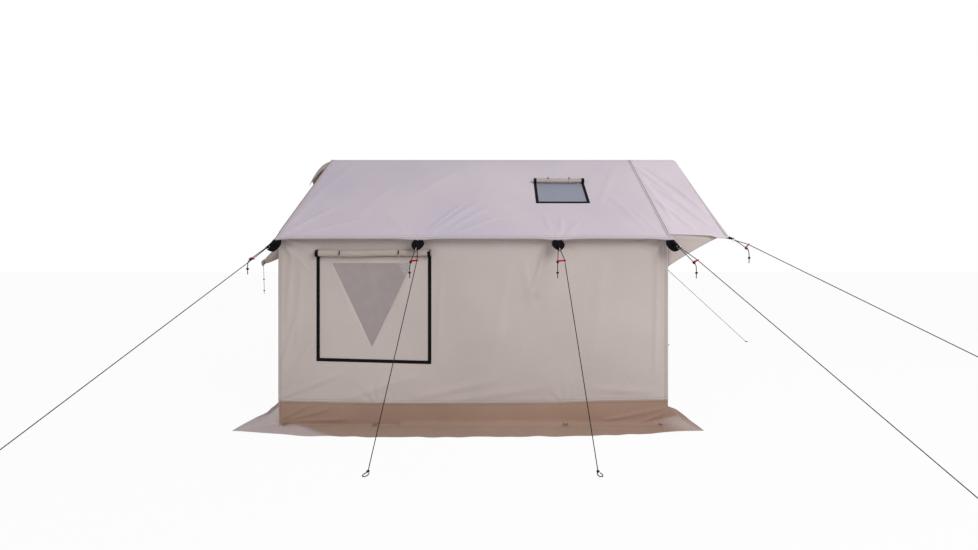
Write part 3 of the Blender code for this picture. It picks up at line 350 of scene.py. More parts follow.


# The slides: ten punched and anodised aluminium plates. Brushed before the dye, so their bright red
# has fine lines along the plate, which make it duller in places. The solids' own nodes stay.
def metal(name, dark, pale, clouds, marks, rough, bump=None, stretch=(1, 1, 1)):
    """A metal whose tint drifts and whose fine marks, drawn out by stretch, make it duller.

    clouds and marks are each a noise's scale, detail and roughness.
    """
    made = bpy.data.materials.new(name)
    tree = tree_of(made)
    shader = tree.nodes["Principled BSDF"]
    place = wire(tree, "TexCoord", {}, "Object")
    drawn = wire(tree, "Mapping", {"Vector": place, "Scale": stretch})
    words = ("Scale", "Detail", "Roughness")
    drift = wire(tree, "TexNoise", {"Vector": place, **dict(zip(words, clouds))})
    fine = wire(tree, "TexNoise", {"Vector": drawn, **dict(zip(words, marks))})
    if bump:
        normal = wire(tree, "Bump", {"Height": fine, "Strength": bump[0], "Distance": bump[1]})
        join(tree, shader, {"Normal": normal})
    tint = wire(tree, "Mix", {0: drift, 6: linear(dark), 7: linear(pale)}, 2, data_type="RGBA")
    dull = wire(tree, "MapRange", {0: fine, 1: 0.3, 2: 0.7, 3: rough[0], 4: rough[1]})
    join(tree, shader, {"Base Color": tint, "Roughness": dull, "Metallic": 1.0})
    return made


red_anodised = metal("red_anodised_aluminium", "B0131C", "EE3A42", (260.0, 2.0), (1.0, 3.0), (0.35, 0.55),
                     (0.2, 0.0002), (120, 120, 2500))
for word in rope_lines:
    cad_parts["tensioner_" + word].material_slots[0].material = red_anodised

# The ground and the light: a matt white studio floor that runs into a white background, with a big
# soft lamp ahead to the right and a weak one to the left. The camera sees the floor's paint glow.
white = (1, 1, 1, 1)
floor_paint = bpy.data.materials.new("studio_floor_paint")
tree = tree_of(floor_paint)
shader = tree.nodes["Principled BSDF"]
join(tree, shader, {"Base Color": linear("E4E2E0"), "Roughness": 0.9})
seen = wire(tree, "Math", {0: wire(tree, "LightPath", {}, "Is Camera Ray"), 1: 0.95}, operation="MULTIPLY")
glow = wire(tree, "Emission", {"Color": white, "Strength": 1.0})
blend = wire(tree, "MixShader", {0: seen, 1: shader.outputs[0], 2: glow})
join(tree, tree.nodes["Material Output"], {"Surface": blend})
reach = 60.0
corners = [(-reach, -reach, 0), (reach, -reach, 0), (reach, reach, 0), (-reach, reach, 0)]
floor = piece("studio_floor", corners, [[0, 1, 2, 3]], [(0, 0), (1, 0), (1, 1), (0, 1)], floor_paint)
studio = bpy.data.worlds.new("studio")
tree = tree_of(studio)
ambient = tree.nodes["Background"]
join(tree, ambient, {"Color": linear("F4F2F4"), "Strength": 0.5})
seen = 0.0
for word in ("Camera", "Glossy", "Transmission"):
    ray = wire(tree, "LightPath", {}, "Is " + word + " Ray")
    seen = wire(tree, "Math", {0: ray, 1: seen}, operation="MAXIMUM")
backdrop = wire(tree, "Background", {"Color": white, "Strength": 1.0})
blend = wire(tree, "MixShader", {0: seen, 1: ambient.outputs[0], 2: backdrop})
join(tree, tree.nodes["World Output"], {"Surface": blend})
bpy.context.scene.world = studio
lamps = (("lamp_key", (5.2, -6.8, 5.6), 4.5, 430.0), ("lamp_fill", (-5.5, -7.0, 2.2), 4.0, 50.0))
for word, place, size, power in lamps:
    lamp = bpy.data.lights.new(word, "AREA")
    lamp.energy, lamp.size, lamp.shape = power, size, "SQUARE"
    holder = bpy.data.objects.new(word, lamp)
    holder.location = place
    holder.rotation_euler = (Vector((0, 0, 1.0)) - Vector(place)).to_track_quat("-Z", "Y").to_euler()
    bpy.context.collection.objects.link(holder)

# The frame: 25 mm steel tubes, plugged into welded sockets at the ridge and the eaves. Zinc plated,
# so they are a cloudy light grey with fine marks.
zinc_steel = metal("zinc_plated_steel_tube", "9DA0A4", "CDD0D3", (18.0, 4.0), (160.0, 3.0, 0.7), (0.28, 0.5),
                   (0.15, 0.0003))
for word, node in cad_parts.items():
    if word.startswith(("ridge_pole", "eave_pole", "rafters", "leg_")):
        node.material_slots[0].material = zinc_steel

# The roof: one sheet of cotton canvas over the ridge, drawn down by the guy ropes at its eaves. It sags
# a little between the rafters and creases away from the patches. Its edges are hemmed and a seam runs
# above each eave and below the ridge, so it is a stiff, matt, very even cloth with soft broad folds.
cloth = 0.0016
hem_lift = cloth + 0.0002
slope_long = eave_y / math.cos(pitch)
roof_back, roof_front = rear_x - 0.004, front_x + 0.001
rear_leg_in = 0.0168
cloth_sag = 0.006
pull_wide, pull_deep, pull_rest = 0.13, 0.008, 0.003
crease_reach, crease_tall = 0.16, 0.0026
tab_start, tab_reach = 1.226, 0.038
jack_x, jack_y = (0.414, 0.859), (-0.7779, -0.4515)
rope_xs = [row[1] for row in rope_rows[:4]]
roof_folds = [
    (-0.50, 0.08, -0.24, 0.56, 0.015, 0.006),
    (-0.45, 0.10, -0.17, 0.54, 0.016, 0.006),
    (-0.40, 0.12, -0.10, 0.60, 0.018, 0.0055),
    (-0.33, 0.12, 0.00, 0.52, 0.020, 0.004),
    (-0.26, 0.08, 0.10, 0.36, 0.022, 0.003),
    (-0.62, 0.06, -0.84, 0.40, 0.020, 0.003),
    (0.50, 0.05, 0.46, 0.42, 0.018, 0.0035),
    (0.57, 0.05, 0.60, 0.36, 0.016, 0.0035),
    (0.62, 0.06, 0.74, 0.30, 0.018, 0.0025),
    (-1.60, 0.06, -1.30, 0.55, 0.026, 0.0045),
    (-1.55, 0.03, -1.05, 0.30, 0.024, 0.0045),
    (-1.62, 0.10, -1.52, 0.80, 0.026, 0.0035),
    (-1.62, 0.40, -1.40, 1.35, 0.035, 0.003),
    (1.30, 0.06, 1.05, 0.80, 0.030, 0.0035),
    (1.36, 0.05, 1.22, 0.50, 0.022, 0.0035),
    (0.95, 0.55, 1.25, 1.40, 0.040, 0.003),
    (-0.70, 0.70, -0.30, 1.30, 0.050, 0.003),
    (-1.10, 0.30, -0.85, 1.10, 0.050, 0.0025),
]


def clamp(values):
    """Held between 0 and 1."""
    return np.clip(values, 0, 1)


def bell(values):
    """1 at zero, falling off to 0 on both sides."""
    return np.exp(-(values**2))


def rounded(y, radius=0.005):
    """The distance from zero, with its corner at zero rounded off."""
    return np.sqrt(y**2 + radius**2) - radius


def folds(u, v, table):
    """The height of soft ridges on a sheet: each is a bell across its line, with a shallow dip beside
    it, and fades to nothing at its two ends. A row gives the ends, the width and the height."""
    height = np.zeros_like(u)
    for u0, v0, u1, v1, width, tall in table:
        du, dv = u1 - u0, v1 - v0
        t = ((u - u0) * du + (v - v0) * dv) / (du**2 + dv**2)
        q = ((u - u0) * dv - (v - v0) * du) / math.hypot(du, dv) / width
        height = height + tall * np.sqrt(4 * clamp(t) * clamp(1 - t)) * bell(q) * (1 - 0.8 * q)
    return height


def gathers(u, v, spots):
    """The height of wrinkles that fan out of a point: waves in the angle that die out with distance."""
    height = np.zeros_like(u)
    for u0, v0, count, turn, reach, tall in spots:
        away, angle = np.hypot(u - u0, v - v0), np.arctan2(v - v0, u - u0)
        wave = np.sin(count * angle + turn) + 0.4 * np.sin((2 * count + 1) * angle + 2 * turn)
        height = height + tall * wave * (1 - np.exp(-away / (0.2 * reach))) * np.exp(-((away / reach) ** 1.5))
    return height


def unevenness(u, v, seed, tall):
    """The slight unevenness of hung cloth: twelve sine waves of 0.15 to 0.9 m in random ways."""
    pick = np.random.default_rng(seed)
    height = np.zeros_like(u)
    for _ in range(12):
        angle, length, phase = pick.uniform(0, np.pi), pick.uniform(0.15, 0.9), pick.uniform(0, 2 * np.pi)
        run = u * np.cos(angle) + v * np.sin(angle)
        height = height + length * np.sin(2 * np.pi * run / length + phase)
    return tall * height / 2


def canvas_material(name, dark, pale, warm, seams=(), marks=(), painted_light_tint=None, own=None):
    """Woven cloth in its UV map, which is in metres. Its 1 mm yarns are drawn 3 mm wide so that they
    show, with thicker yarns here and there, cloudy changes of colour, and a dull, slightly fuzzy face.

    A seam is the number of a UV coordinate, a value of it, and a share that its light is cut to: a
    shallow groove with a row of stitches, 6 mm each. A mark is a soft dark spot: its two coordinates
    and its radius. The last colour is painted light: a paler tint on the places that the attribute
    pale names, such as flaps that face the lamps, and own gives the shader's sockets values of the
    cloth's own.
    """
    thread, stitch_length = 0.003, 0.006
    made = bpy.data.materials.new(name)
    tree = tree_of(made)
    place = wire(tree, "UVMap", {})
    ribs = {0: place, "Scale": 2 * math.pi / thread / 20, "Distortion": 0.6, "Detail": 1.0,
            "Detail Scale": 2.0}
    weave = [wire(tree, "TexWave", ribs, "Fac", bands_direction=letter) for letter in "XY"]
    height = wire(tree, "Math", {0: weave[0], 1: weave[1]}, operation="MULTIPLY")
    slubs = 0.0
    for scale in ((6, 240, 1), (240, 6, 1)):
        drawn = wire(tree, "Mapping", {"Vector": place, "Scale": scale})
        thick = wire(tree, "TexNoise", {"Vector": drawn, "Scale": 1.0, "Detail": 2.0})
        slubs = wire(tree, "Math", {0: thick, 1: slubs}, operation="ADD")
    height = wire(tree, "Math", {0: height, 1: slubs}, operation="ADD")
    cloud = wire(tree, "TexNoise", {"Vector": place, "Scale": 0.9, "Detail": 3.0, "Roughness": 0.45})
    share = wire(tree, "MapRange", {0: cloud, 1: 0.35, 2: 0.65})
    tint = wire(tree, "Mix", {0: share, 6: linear(dark), 7: linear(pale)}, 2, data_type="RGBA")
    cloud = wire(tree, "TexNoise", {"Vector": place, "Scale": 3.3, "Detail": 4.0, "Roughness": 0.55})
    share = wire(tree, "MapRange", {0: cloud, 1: 0.5, 2: 0.85, 4: 0.35})
    tint = wire(tree, "Mix", {0: share, 6: tint, 7: linear(warm)}, 2, data_type="RGBA")
    # Painted light: a paler tint on the places that the attribute pale names.
    if painted_light_tint:
        share = wire(tree, "Attribute", {}, "Fac", attribute_name="pale")
        tint = wire(tree, "Mix", {0: share, 6: tint, 7: linear(painted_light_tint)}, 2, data_type="RGBA")
    for u, v, radius in marks:
        away = wire(tree, "VectorMath", {0: place, 1: (u, v, 0)}, "Value", operation="DISTANCE")
        spot = wire(tree, "MapRange", {0: away, 1: 0.0, 2: radius, 3: 0.88, 4: 1.0})
        tint = wire(tree, "VectorMath", {0: tint, "Scale": spot}, operation="SCALE")
    yarn = wire(tree, "MapRange", {0: slubs, 1: 0.75, 2: 1.25, 3: 0.975, 4: 1.025})
    tint = wire(tree, "VectorMath", {0: tint, "Scale": yarn}, operation="SCALE")
    # Each seam's groove cuts the colour to its share: painted shade in the groove.
    for number, at, left in seams:
        over, along = [wire(tree, "SeparateXYZ", {0: place}, axis) for axis in (number, 1 - number)]
        off = wire(tree, "Math", {0: over, 1: at}, operation="SUBTRACT")
        off = wire(tree, "Math", {0: off}, operation="ABSOLUTE")
        groove = wire(tree, "MapRange", {0: off, 1: 0.0012, 2: 0.0105 - 0.0055 * left, 3: 1.0, 4: 0.0})
        turn = wire(tree, "Math", {0: along, 1: 2 * math.pi / stitch_length}, operation="MULTIPLY")
        dash = wire(tree, "Math", {0: turn}, operation="SINE")
        dash = wire(tree, "MapRange", {0: dash, 1: -0.5, 2: 0.1})
        narrow = wire(tree, "Math", {0: off, 1: 0.0008}, operation="LESS_THAN")
        stitch = wire(tree, "Math", {0: dash, 1: narrow}, operation="MULTIPLY")
        height = wire(tree, "Math", {0: groove, 1: -2.5, 2: height}, operation="MULTIPLY_ADD")
        height = wire(tree, "Math", {0: stitch, 1: 3.0, 2: height}, operation="MULTIPLY_ADD")
        shade = wire(tree, "MapRange", {0: groove, 1: 0.0, 2: 1.0, 3: 1.0, 4: left})
        tint = wire(tree, "VectorMath", {0: tint, "Scale": shade}, operation="SCALE")
    bump = wire(tree, "Bump", {"Height": height, "Strength": 0.35, "Distance": 0.0006})
    face = {"Roughness": 0.92, "Sheen Weight": 0.12, "Sheen Roughness": 0.6, **(own or {})}
    join(tree, tree.nodes["Principled BSDF"], {"Base Color": tint, "Normal": bump, **face})
    return made


def sheet_of(name, parts, material, thickness=cloth, pale=None):
    """A piece of one or more grids that gets a cloth's thickness."""
    made = piece(name, *joined(parts), material, pale)
    wall = made.modifiers.new("thickness", "SOLIDIFY")
    wall.thickness, wall.offset = thickness, 0.0
    return made


def cells_inside(u, v, us, vs, margin=0.0):
    """Those cells of a grid whose middles lie in an opening, less a margin."""
    u, v = [(a[:-1, :-1] + a[1:, 1:]) / 2 for a in (u, v)]
    return (u > us[0] + margin) & (u < us[1] - margin) & (v > vs[0] + margin) & (v < vs[1] - margin)


def roof_points(x, v, lift=0.0):
    """v runs from -1 at the near eave through 0 at the ridge to 1 at the far eave.

    The slope is straight but for a sag between the rafters, the ridge is rounded over its pole, the
    eave dips at each guy rope, and each front corner runs out to a small tab.
    """
    y, far = v * eave_y, np.abs(v)
    bay = np.clip((x - rear_x - rear_leg_in) / (half_length - rear_leg_in), 0, 2)
    hang = cloth_sag * np.sin(np.pi * bay) ** 2 * np.sin(np.pi * clamp(np.abs(y) / half_width))
    pulls = sum(bell((x - at) / pull_wide) for at in rope_xs)
    up_slope = (1 - far) * slope_long
    rough = unevenness(x, up_slope + 5 * (v > 0), 3, 0.001) + 1.8 * folds(x, up_slope, roof_folds)
    fan = gathers(x, up_slope, [(at, -0.03, 9, 0.7 * at, crease_reach, crease_tall) for at in rope_xs])
    out = lift + (rough * clamp((1 - far) / 0.1) + 1.6 * fan) * clamp(far / 0.06)
    corner = clamp((np.abs(y) - tab_start) / (eave_y - tab_start)) * clamp((x - roof_front + 0.06) / 0.06)
    dip = (pulls * pull_deep - pull_rest) * clamp((far - 0.9) / 0.1) ** 2
    z = ridge_z - rounded(y) * rise - hang - dip
    side = np.clip(y / 0.01, -1, 1)
    return xyz(x + tab_reach * corner, y + side * out * math.sin(pitch), z + out * math.cos(pitch))


seams_at = (0.03, 0.055, slope_long - 0.05)  # from the eave, up the slope
roof_seams = [(1, side * (slope_long - at), 0.85) for side in (-1, 1) for at in seams_at]
roof_canvas = canvas_material("roof_cotton_canvas", "C5BCCA", "D1C6CD", "CFBFC3",
                              [*roof_seams, (0, roof_back + 0.004, 0.55)])
x, v = grid(np.linspace(roof_back, roof_front, 206), np.linspace(-1, 1, 209))
flat = xyz(x, v * slope_long)
hole = cells_inside(x, v * eave_y, jack_x, jack_y, 0.008)
roof = sheet_of("roof_sheet", [part_of(roof_points(x, v), flat, ~hole)], roof_canvas)
settle(roof, "tent", "roof_canvas", "roof")
hem_seams = [(1, side * (slope_long - 0.003), 0.75) for side in (1, -1)]
hem_canvas = canvas_material("roof_hem_canvas", "BFB3B6", "C9BEC2", "C2B1AC",
                             [*hem_seams, (0, roof_back + 0.004, 0.5)])
every, between = slice(None), slice(2, -2)
hem_cells = [(every, slice(0, 3)), (every, slice(-3, None)), (slice(0, 3), between),
             (slice(-2, None), between)]
strips = [part_of(roof_points(x[cells], v[cells], hem_lift), flat[cells]) for cells in hem_cells]
settle(sheet_of("roof_hems", strips, hem_canvas), "tent", "roof_canvas", "roof")

# The awning: the roof goes on past the front wall over the end of the ridge pole, as a second sheet
# that is sewn on with a felled seam. Its own pull lines run from the ridge to its guyed corners.
awning_root, awning_nose, awning_hollow = roof_front + 0.0003, front_x + 0.494, 0.036
nose_dip, hem_turn = 0.042, 0.15
awning_folds = [
    (0.02, 1.36, 0.30, 0.45, 0.026, 0.0065),
    (0.12, 1.36, 0.36, 0.62, 0.024, 0.0065),
    (0.20, 1.30, 0.44, 0.36, 0.026, 0.006),
    (0.08, 0.95, 0.40, 0.12, 0.026, 0.006),
    (0.28, 1.10, 0.46, 0.50, 0.020, 0.005),
    (0.00, 0.70, 0.25, 0.05, 0.024, 0.005),
    (0.02, 1.10, 0.10, 0.20, 0.020, 0.004),
]


def awning_edge(share):
    """Half the awning's width: the side walls' line at the seam, and a little more at the corners."""
    return half_width + 0.004 + 0.03 * share**2


def awning_points(share, v, lift=0.0):
    """Like the roof, but share runs from the seam to the hollow front edge, and past v = 1 the side
    edge turns down as a hem, deeper near the corner. The nose dips past the pole's end."""
    inner, half = np.clip(v, -1, 1), awning_edge(share)
    y, far = inner * half, np.abs(inner)
    x = awning_root + share * (awning_nose - awning_hollow * far - awning_root)
    hang = nose_dip * clamp((share - 0.92) / 0.08) ** 1.6 * (1 - far)
    hang = hang + cloth_sag * np.sin(np.pi * clamp(np.abs(y) / half_width)) * share
    up_slope = (1 - far) * slope_long
    rough = unevenness(x, up_slope + 5 * (v > 0), 3, 0.0012)
    rough = rough + 1.9 * folds(share * 0.5, up_slope, awning_folds)
    out = lift + rough * clamp(share / 0.08) * clamp(np.abs(v) / 0.06)
    turned = (np.abs(v) - far) * half * (0.25 + 0.75 * clamp((share - 0.72) / 0.1))
    z = ridge_z - rounded(y) * rise - hang - turned + out * math.cos(pitch)
    return xyz(x, y + np.clip(y / 0.01, -1, 1) * (out * math.sin(pitch) + hem_turn * turned), z)


# The seam at the awning's root, cut to 0.45, is a painted shadow along the roof's front edge.
awning_seams = [(0, roof_front + 0.004, 0.45), (0, roof_front + 0.024, 0.9), *roof_seams[2::3]]
awning_canvas = canvas_material("awning_cotton_canvas", "CFC5CE", "D9CED7", "D6C7CA", awning_seams)
share, v = grid(np.linspace(0, 1, 40), [-1.016, -1.008, *np.linspace(-1, 1, 209), 1.008, 1.016])
points = awning_points(share, v)
flat = xyz(points[..., 0], v * slope_long)
awning = sheet_of("awning_sheet", [part_of(points, flat)], awning_canvas)
settle(awning, "tent", "roof_canvas", "awning")
front_cells = (slice(-3, None), between)
strips = [part_of(awning_points(share[front_cells], v[front_cells], hem_lift), flat[front_cells])]
settle(sheet_of("awning_hem", strips, hem_canvas), "tent", "roof_canvas", "awning")

# The awning's wings: a piece of wall canvas sewn under each side edge, in line with the side wall.
# Its lower edge is cut in a hollow curve from the wall up to the corner.
wall_seams = [(0, rear_x + 0.02, 0.8), (0, front_x - 0.024, 0.8), (0, front_x - 0.012, 0.8), (1, 0.21, 0.85)]
wall_canvas = canvas_material("wall_cotton_canvas", "BAAFAA", "C5BAB5", "C3B6AD", wall_seams,
                              [(0.372, 1.014, 0.05)])
wing_deep, wing_end, eave_height = 0.25, 0.006, 1.5
for side, word in both_sides:
    share, low = grid(np.linspace(0, 0.985, 34), np.linspace(0, 1, 14))
    top = awning_points(share, side * half_width / awning_edge(share))
    depth = (wing_end + wing_deep * (1 - share) ** 1.2) * low
    bow = 0.004 * np.sin(np.pi * low) * np.sin(np.pi * share)
    bow = bow + folds(share * 0.5, depth, [(0.0, 0.02, 0.4, 0.05, 0.015, 0.003)])
    points = xyz(top[..., 0], side * (half_width + bow), top[..., 2] - depth - 0.001)
    part = part_of(points, xyz(points[..., 0], eave_height - depth))
    wing = sheet_of("awning_wing_" + word, [part], wall_canvas)
    settle(wing, "tent", "wall_canvas", "awning")

# The ridge port hood: a small canvas beak over the hole where the ridge pole comes out of the rear
# gable. It is sewn to the gable along its upper edge and hangs open below, stiff with its two layers.
hood_half, hood_reach, hood_long, hood_drop = 0.13, 0.205, 0.28, 0.195
trim_canvas = canvas_material("trim_cotton_canvas", "AFA39C", "B9ADA6", "BAACA2", [(1, 0.265, 0.8)])
y, share = grid(np.linspace(-hood_half, hood_half, 41), np.linspace(0, 1, 30))
wide = y * (1 - 0.45 * share)
fall = rounded(wide, 0.006) * rise * (1 + 0.6 * share) + hood_drop * share**2
fall = fall + 0.012 * np.sin(np.pi * share) * (y / hood_half) ** 2
fall = fall - unevenness(y, share * 0.25, 5, 0.003) * share
points = xyz(rear_x - 0.0023 - hood_reach * share, wide, ridge_z - 0.0176 - fall)
hood = sheet_of("ridge_port_hood_sheet", [part_of(points, xyz(y, share * hood_long))], trim_canvas)
settle(hood, "tent", "trim_canvas", "ridge_port_hood")

# Guy patches: pentagons of doubled black webbing sewn under the eave, each with a 26 mm steel ring
# held in its point by a webbing tab. The webbing's ribs are drawn 3 mm apart; the wire is nickelled.
black_webbing = canvas_material("black_polyester_webbing", "09080A", "100E12", "110F10",
                                own={"Sheen Weight": 0.0, "Specular IOR Level": 0.12})
ring_steel = metal("nickel_plated_steel", "B4B5B7", "E0E1E3", (420.0, 3.0), (420.0, 3.0), (0.2, 0.4))
x_way, y_way, z_way = np.eye(3)
fold_radius, tab_half = 0.0042, 0.009
doubled_webbing, webbing, thin_webbing = 0.0022, 0.0015, 0.0012


def moved(start, *moves):
    """A start, moved by amounts along ways: each amount is a number or an array, each way a vector."""
    return np.array(start) + sum(np.asarray(amount)[..., None] * way for amount, way in moves)


for word, (spots, size) in rope_lines.items():
    patch_top, way, level, ring_centre = np.array(spots)
    front = np.cross(way, x_way)
    front *= np.sign(front[1] * patch_top[1]) / np.linalg.norm(front)
    a, b = grid(np.linspace(-1, 1, 15), np.linspace(0, 1, 19))
    narrowing = 1 - 0.66 * (clamp(b - 0.4) / 0.6) ** 1.9
    half = size * patch_half * a * np.where(b < 0.4, 0.62 + 0.38 * np.sin(np.pi / 2 * b / 0.4), narrowing)
    long = size * patch_height * 1.22 * b
    sag = 0.12 * size**3 * abs(way[0]) * np.sin(np.pi * b**0.8) * (1 - 0.6 * a**2)
    puff = 0.0012 * (1 - a**2) * np.sin(np.pi * b) - 0.0045 * clamp(b - 0.7)
    points = moved(patch_top, (half, x_way), (long, way), (-sag, z_way), (puff, front))
    layers = [part_of(points, xyz(half, long))]
    turn = np.linspace(-np.pi / 2, np.pi / 2, 9)
    wrap = ring_centre - ring_radius * way
    loop = moved(wrap, (fold_radius * np.cos(turn), way), (fold_radius * np.sin(turn), front))
    ends = [wrap - way * 0.045 * size + side * front * 0.004 for side in (-1, 1)]
    path = np.vstack([ends[0], loop, ends[1]])
    aside, run = grid(np.linspace(-tab_half, tab_half, 5), np.arange(len(path)))
    layers.append(part_of(moved(path[run.astype(int)], (aside, x_way)), xyz(aside, run * 0.004)))
    patch = sheet_of("guy_patch_" + word, layers, black_webbing, doubled_webbing)
    a, b = grid(np.linspace(0, 2 * np.pi, 41), np.linspace(0, 2 * np.pi, 13))
    reach = ring_radius + ring_wire * np.cos(b)
    sideways = np.cross(level, way)
    points = moved(ring_centre, (reach * np.cos(a), way), (reach * np.sin(a), sideways),
                   (ring_wire * np.sin(b), level))
    ring = piece("guy_ring_" + word, *part_of(points, xyz(a * ring_radius, b * ring_wire)), ring_steel)
    carrier = "awning" if word.startswith("awning") else "roof"
    settle(patch, "tent", "black_webbing", carrier)
    settle(ring, "tent", "nickel", carrier)

# The stove jack: a silver grey panel of silicone coated glass cloth in the roof, smooth and a little
# shiny, bound to the canvas with black tape on three sides. Its top edge is under the rolled cover.
tape_width = 0.025
half_tape, tape_lift = tape_width / 2, cloth / 2 + webbing
jack_overlap = 0.005
panel_cloth = canvas_material("silicone_coated_glass_cloth", "7B7C8D", "888A9A", "8A8B99",
                              own={"Roughness": 0.55})


def taped_edge(name, surface, xs, zs, replaced):
    """Tape along both sides and the foot of an opening. surface gives the points of two grids."""
    low = zs[0] - half_tape
    spans = [(x - half_tape, x + half_tape, low, zs[1]) for x in xs]
    spans.append((xs[0] + half_tape, xs[1] - half_tape, low, zs[0] + half_tape))
    strips = []
    for a, b, c, d in spans:
        counts = [max(3, int(length / 0.015)) for length in (b - a, d - c)]
        u, w = grid(np.linspace(a, b, counts[0]), np.linspace(c, d, counts[1]))
        strips.append(part_of(surface(u, w), xyz(u, w)))
    settle(sheet_of(name, strips, black_webbing, webbing), "tent", "black_webbing", replaced)


x, y = grid(np.linspace(jack_x[0] - jack_overlap, jack_x[1] + jack_overlap, 32),
            np.linspace(jack_y[0] - jack_overlap, jack_y[1] + jack_overlap, 26))
points = moved(roof_points(x, y / eave_y), (folds(x, y, [(0.45, -0.55, 0.75, -0.72, 0.03, 0.003)]), z_way))
panel = sheet_of("stove_jack_sheet", [part_of(points, xyz(x, y))], panel_cloth)
settle(panel, "tent", "glass_cloth", "stove_jack_panel")
taped_edge("stove_jack_binding", lambda u, w: roof_points(u, w / eave_y, tape_lift), jack_x, jack_y,
           "stove_jack_tape")

# Rolled covers: a flap of canvas with taped sides, rolled up over its opening and held by two canvas
# straps, each closed with a black wooden toggle. The roll is flattened by its straps and a bit slack.
toggle_wood = bpy.data.materials.new("black_stained_beech")
tree = tree_of(toggle_wood)
drawn = wire(tree, "Mapping", {"Vector": wire(tree, "UVMap", {}), "Scale": (60, 900, 1)})
grain = wire(tree, "TexNoise", {"Vector": drawn, "Scale": 1.0, "Detail": 3.0})
tint = wire(tree, "Mix", {0: grain, 6: linear("0B0A0C"), 7: linear("231E1C")}, 2, data_type="RGBA")
bump = wire(tree, "Bump", {"Height": grain, "Strength": 0.3, "Distance": 0.0003})
join(tree, tree.nodes["Principled BSDF"], {"Base Color": tint, "Normal": bump, "Roughness": 0.5})
roll_turns, roll_flatness, roll_slack = 2.2, 0.72, 0.0024
strap_half, over_roll, toggle_half = 0.0075, 0.0016, 0.019
toggle_radii = [0.0025, 0.0044, 0.005, 0.0042, 0.005, 0.0044, 0.0025]


def cover(name, start, end, up, radius, ties, replaced, seed):
    """A spiral that grows from its core, slack between the straps and tight at them, its tape, its
    straps and their toggles."""
    start, end, up = np.array(start), np.array(end), np.array(up, float)
    long = np.linalg.norm(end - start)
    along = (end - start) / long
    out = np.cross(along, up)

    def place(r, angle, share, droop):
        """A point of the roll: its radius and angle round the roll, and its share of the roll's length."""
        forward = roll_flatness * r * np.cos(angle) - 0.2 * radius
        return moved(start, (share, end - start), (droop + r * np.sin(angle), up), (forward, out))

    def band(r, half_turn, count, at, half_wide, droop):
        """A band on the roll, that goes half_turn each way from its front."""
        a, b = grid(np.linspace(-half_turn, half_turn, count), np.linspace(-half_wide, half_wide, 4) / long)
        return part_of(place(r + over_roll, a, at + b, droop), xyz(a * radius, b * long))

    share, turn = grid(np.linspace(0, 1, 90), np.linspace(0, 1, 76))
    angle = 2 * np.pi * roll_turns * turn
    pinch = sum(bell((share - tie) / 0.03) for tie in ties)
    slack = roll_slack * (1 - pinch) * turn
    r = radius * (0.3 + 0.7 * turn) * (0.98 - 0.1 * pinch)
    r = r + slack * np.sin(3 * angle + 9 * share + seed) * np.sin(23 * share + 2 * angle + seed)
    flat = xyz(share * long, turn * roll_turns * 2 * np.pi * radius * 0.65)
    points = place(r, angle, share, 0.003 * np.sin(2 * np.pi * share + seed))
    roll = sheet_of(name + "_roll", [part_of(points, flat)], trim_canvas)
    edge = half_tape / long
    tapes = [band(0.98 * radius, np.pi, 49, at, half_tape, 0.0) for at in (edge, 1 - edge)]
    straps, toggles = [], []
    t = np.linspace(-toggle_half, toggle_half, len(toggle_radii))
    for tie in ties:
        droop = 0.003 * math.sin(2 * math.pi * tie + seed)
        straps.append(band(0.92 * radius, 0.7 * np.pi, 37, tie, strap_half, droop))
        forward = (roll_flatness * 0.92 - 0.2) * radius + 0.0065
        line = moved(start, (tie, end - start), (droop + t + 0.006, up), (0.1 * t, along), (forward, out))
        toggles.append(tube_along(line, toggle_radii, 12))
    settle(sheet_of(name + "_tape", tapes, black_webbing, thin_webbing), "tent", "black_webbing", replaced)
    settle(sheet_of(name + "_straps", straps, trim_canvas, thin_webbing), "tent", "trim_canvas", replaced)
    settle(piece(name + "_toggles", *joined(toggles), toggle_wood), "tent", "black_webbing", replaced)
    settle(roll, "tent", "trim_canvas", replaced)


slope_up = np.array((0, math.cos(pitch), math.sin(pitch)))
roll_v = np.array(0.65 + 0.007 / slope_long - 1)
ends = [roof_points(np.array(at), roll_v, 0.0265) for at in (jack_x[0] - half_tape, jack_x[1] + half_tape)]
cover("stove_jack", *ends, slope_up, 0.029, (0.285, 0.703), "stove_jack_cover", 1)

# The side walls: a hung sheet of canvas each, felled to the roof at the eave and to the sod cloth
# below, with upright seams at its two ends. It is pulled by the guy points and the corners, hangs in
# soft folds, and bows in a little between the legs.
sod_rise, middle_leg_x = 0.19, -0.119
wall_top = ridge_z - half_width * rise - 0.0012
window_x, window_z = (-1.333, -0.46), (0.517, 1.332)
window_tilt = 0.024
wall_folds = [
    (-1.61, 0.30, -1.36, 0.66, 0.020, 0.005),
    (-1.59, 0.22, -1.12, 0.42, 0.024, 0.005),
    (-1.62, 0.42, -1.50, 0.86, 0.018, 0.0045),
    (-1.57, 0.80, -1.53, 1.38, 0.022, 0.0045),
    (-1.50, 0.60, -1.45, 1.30, 0.026, 0.0035),
    (-1.40, 1.22, -1.62, 1.44, 0.016, 0.0045),
    (-1.34, 1.40, -1.61, 1.47, 0.014, 0.004),
    (-1.15, 0.20, -0.55, 0.40, 0.030, 0.0035),
    (-0.60, 0.22, 0.10, 0.36, 0.030, 0.004),
    (-0.30, 0.20, 0.45, 0.30, 0.028, 0.0038),
    (-0.40, 0.45, -0.36, 1.20, 0.030, 0.003),
    (0.33, 1.02, 0.47, 1.46, 0.012, 0.005),
    (0.36, 0.90, 0.28, 1.30, 0.035, 0.003),
    (0.05, 0.50, 0.16, 1.20, 0.045, 0.0025),
    (1.31, 0.36, 1.33, 1.42, 0.018, 0.0045),
    (1.02, 0.24, 1.34, 0.62, 0.024, 0.004),
    (0.80, 0.28, 1.30, 0.25, 0.030, 0.004),
    (1.10, 1.44, 1.36, 1.36, 0.020, 0.004),
    (0.82, 0.50, 0.92, 1.30, 0.050, 0.0025),
]
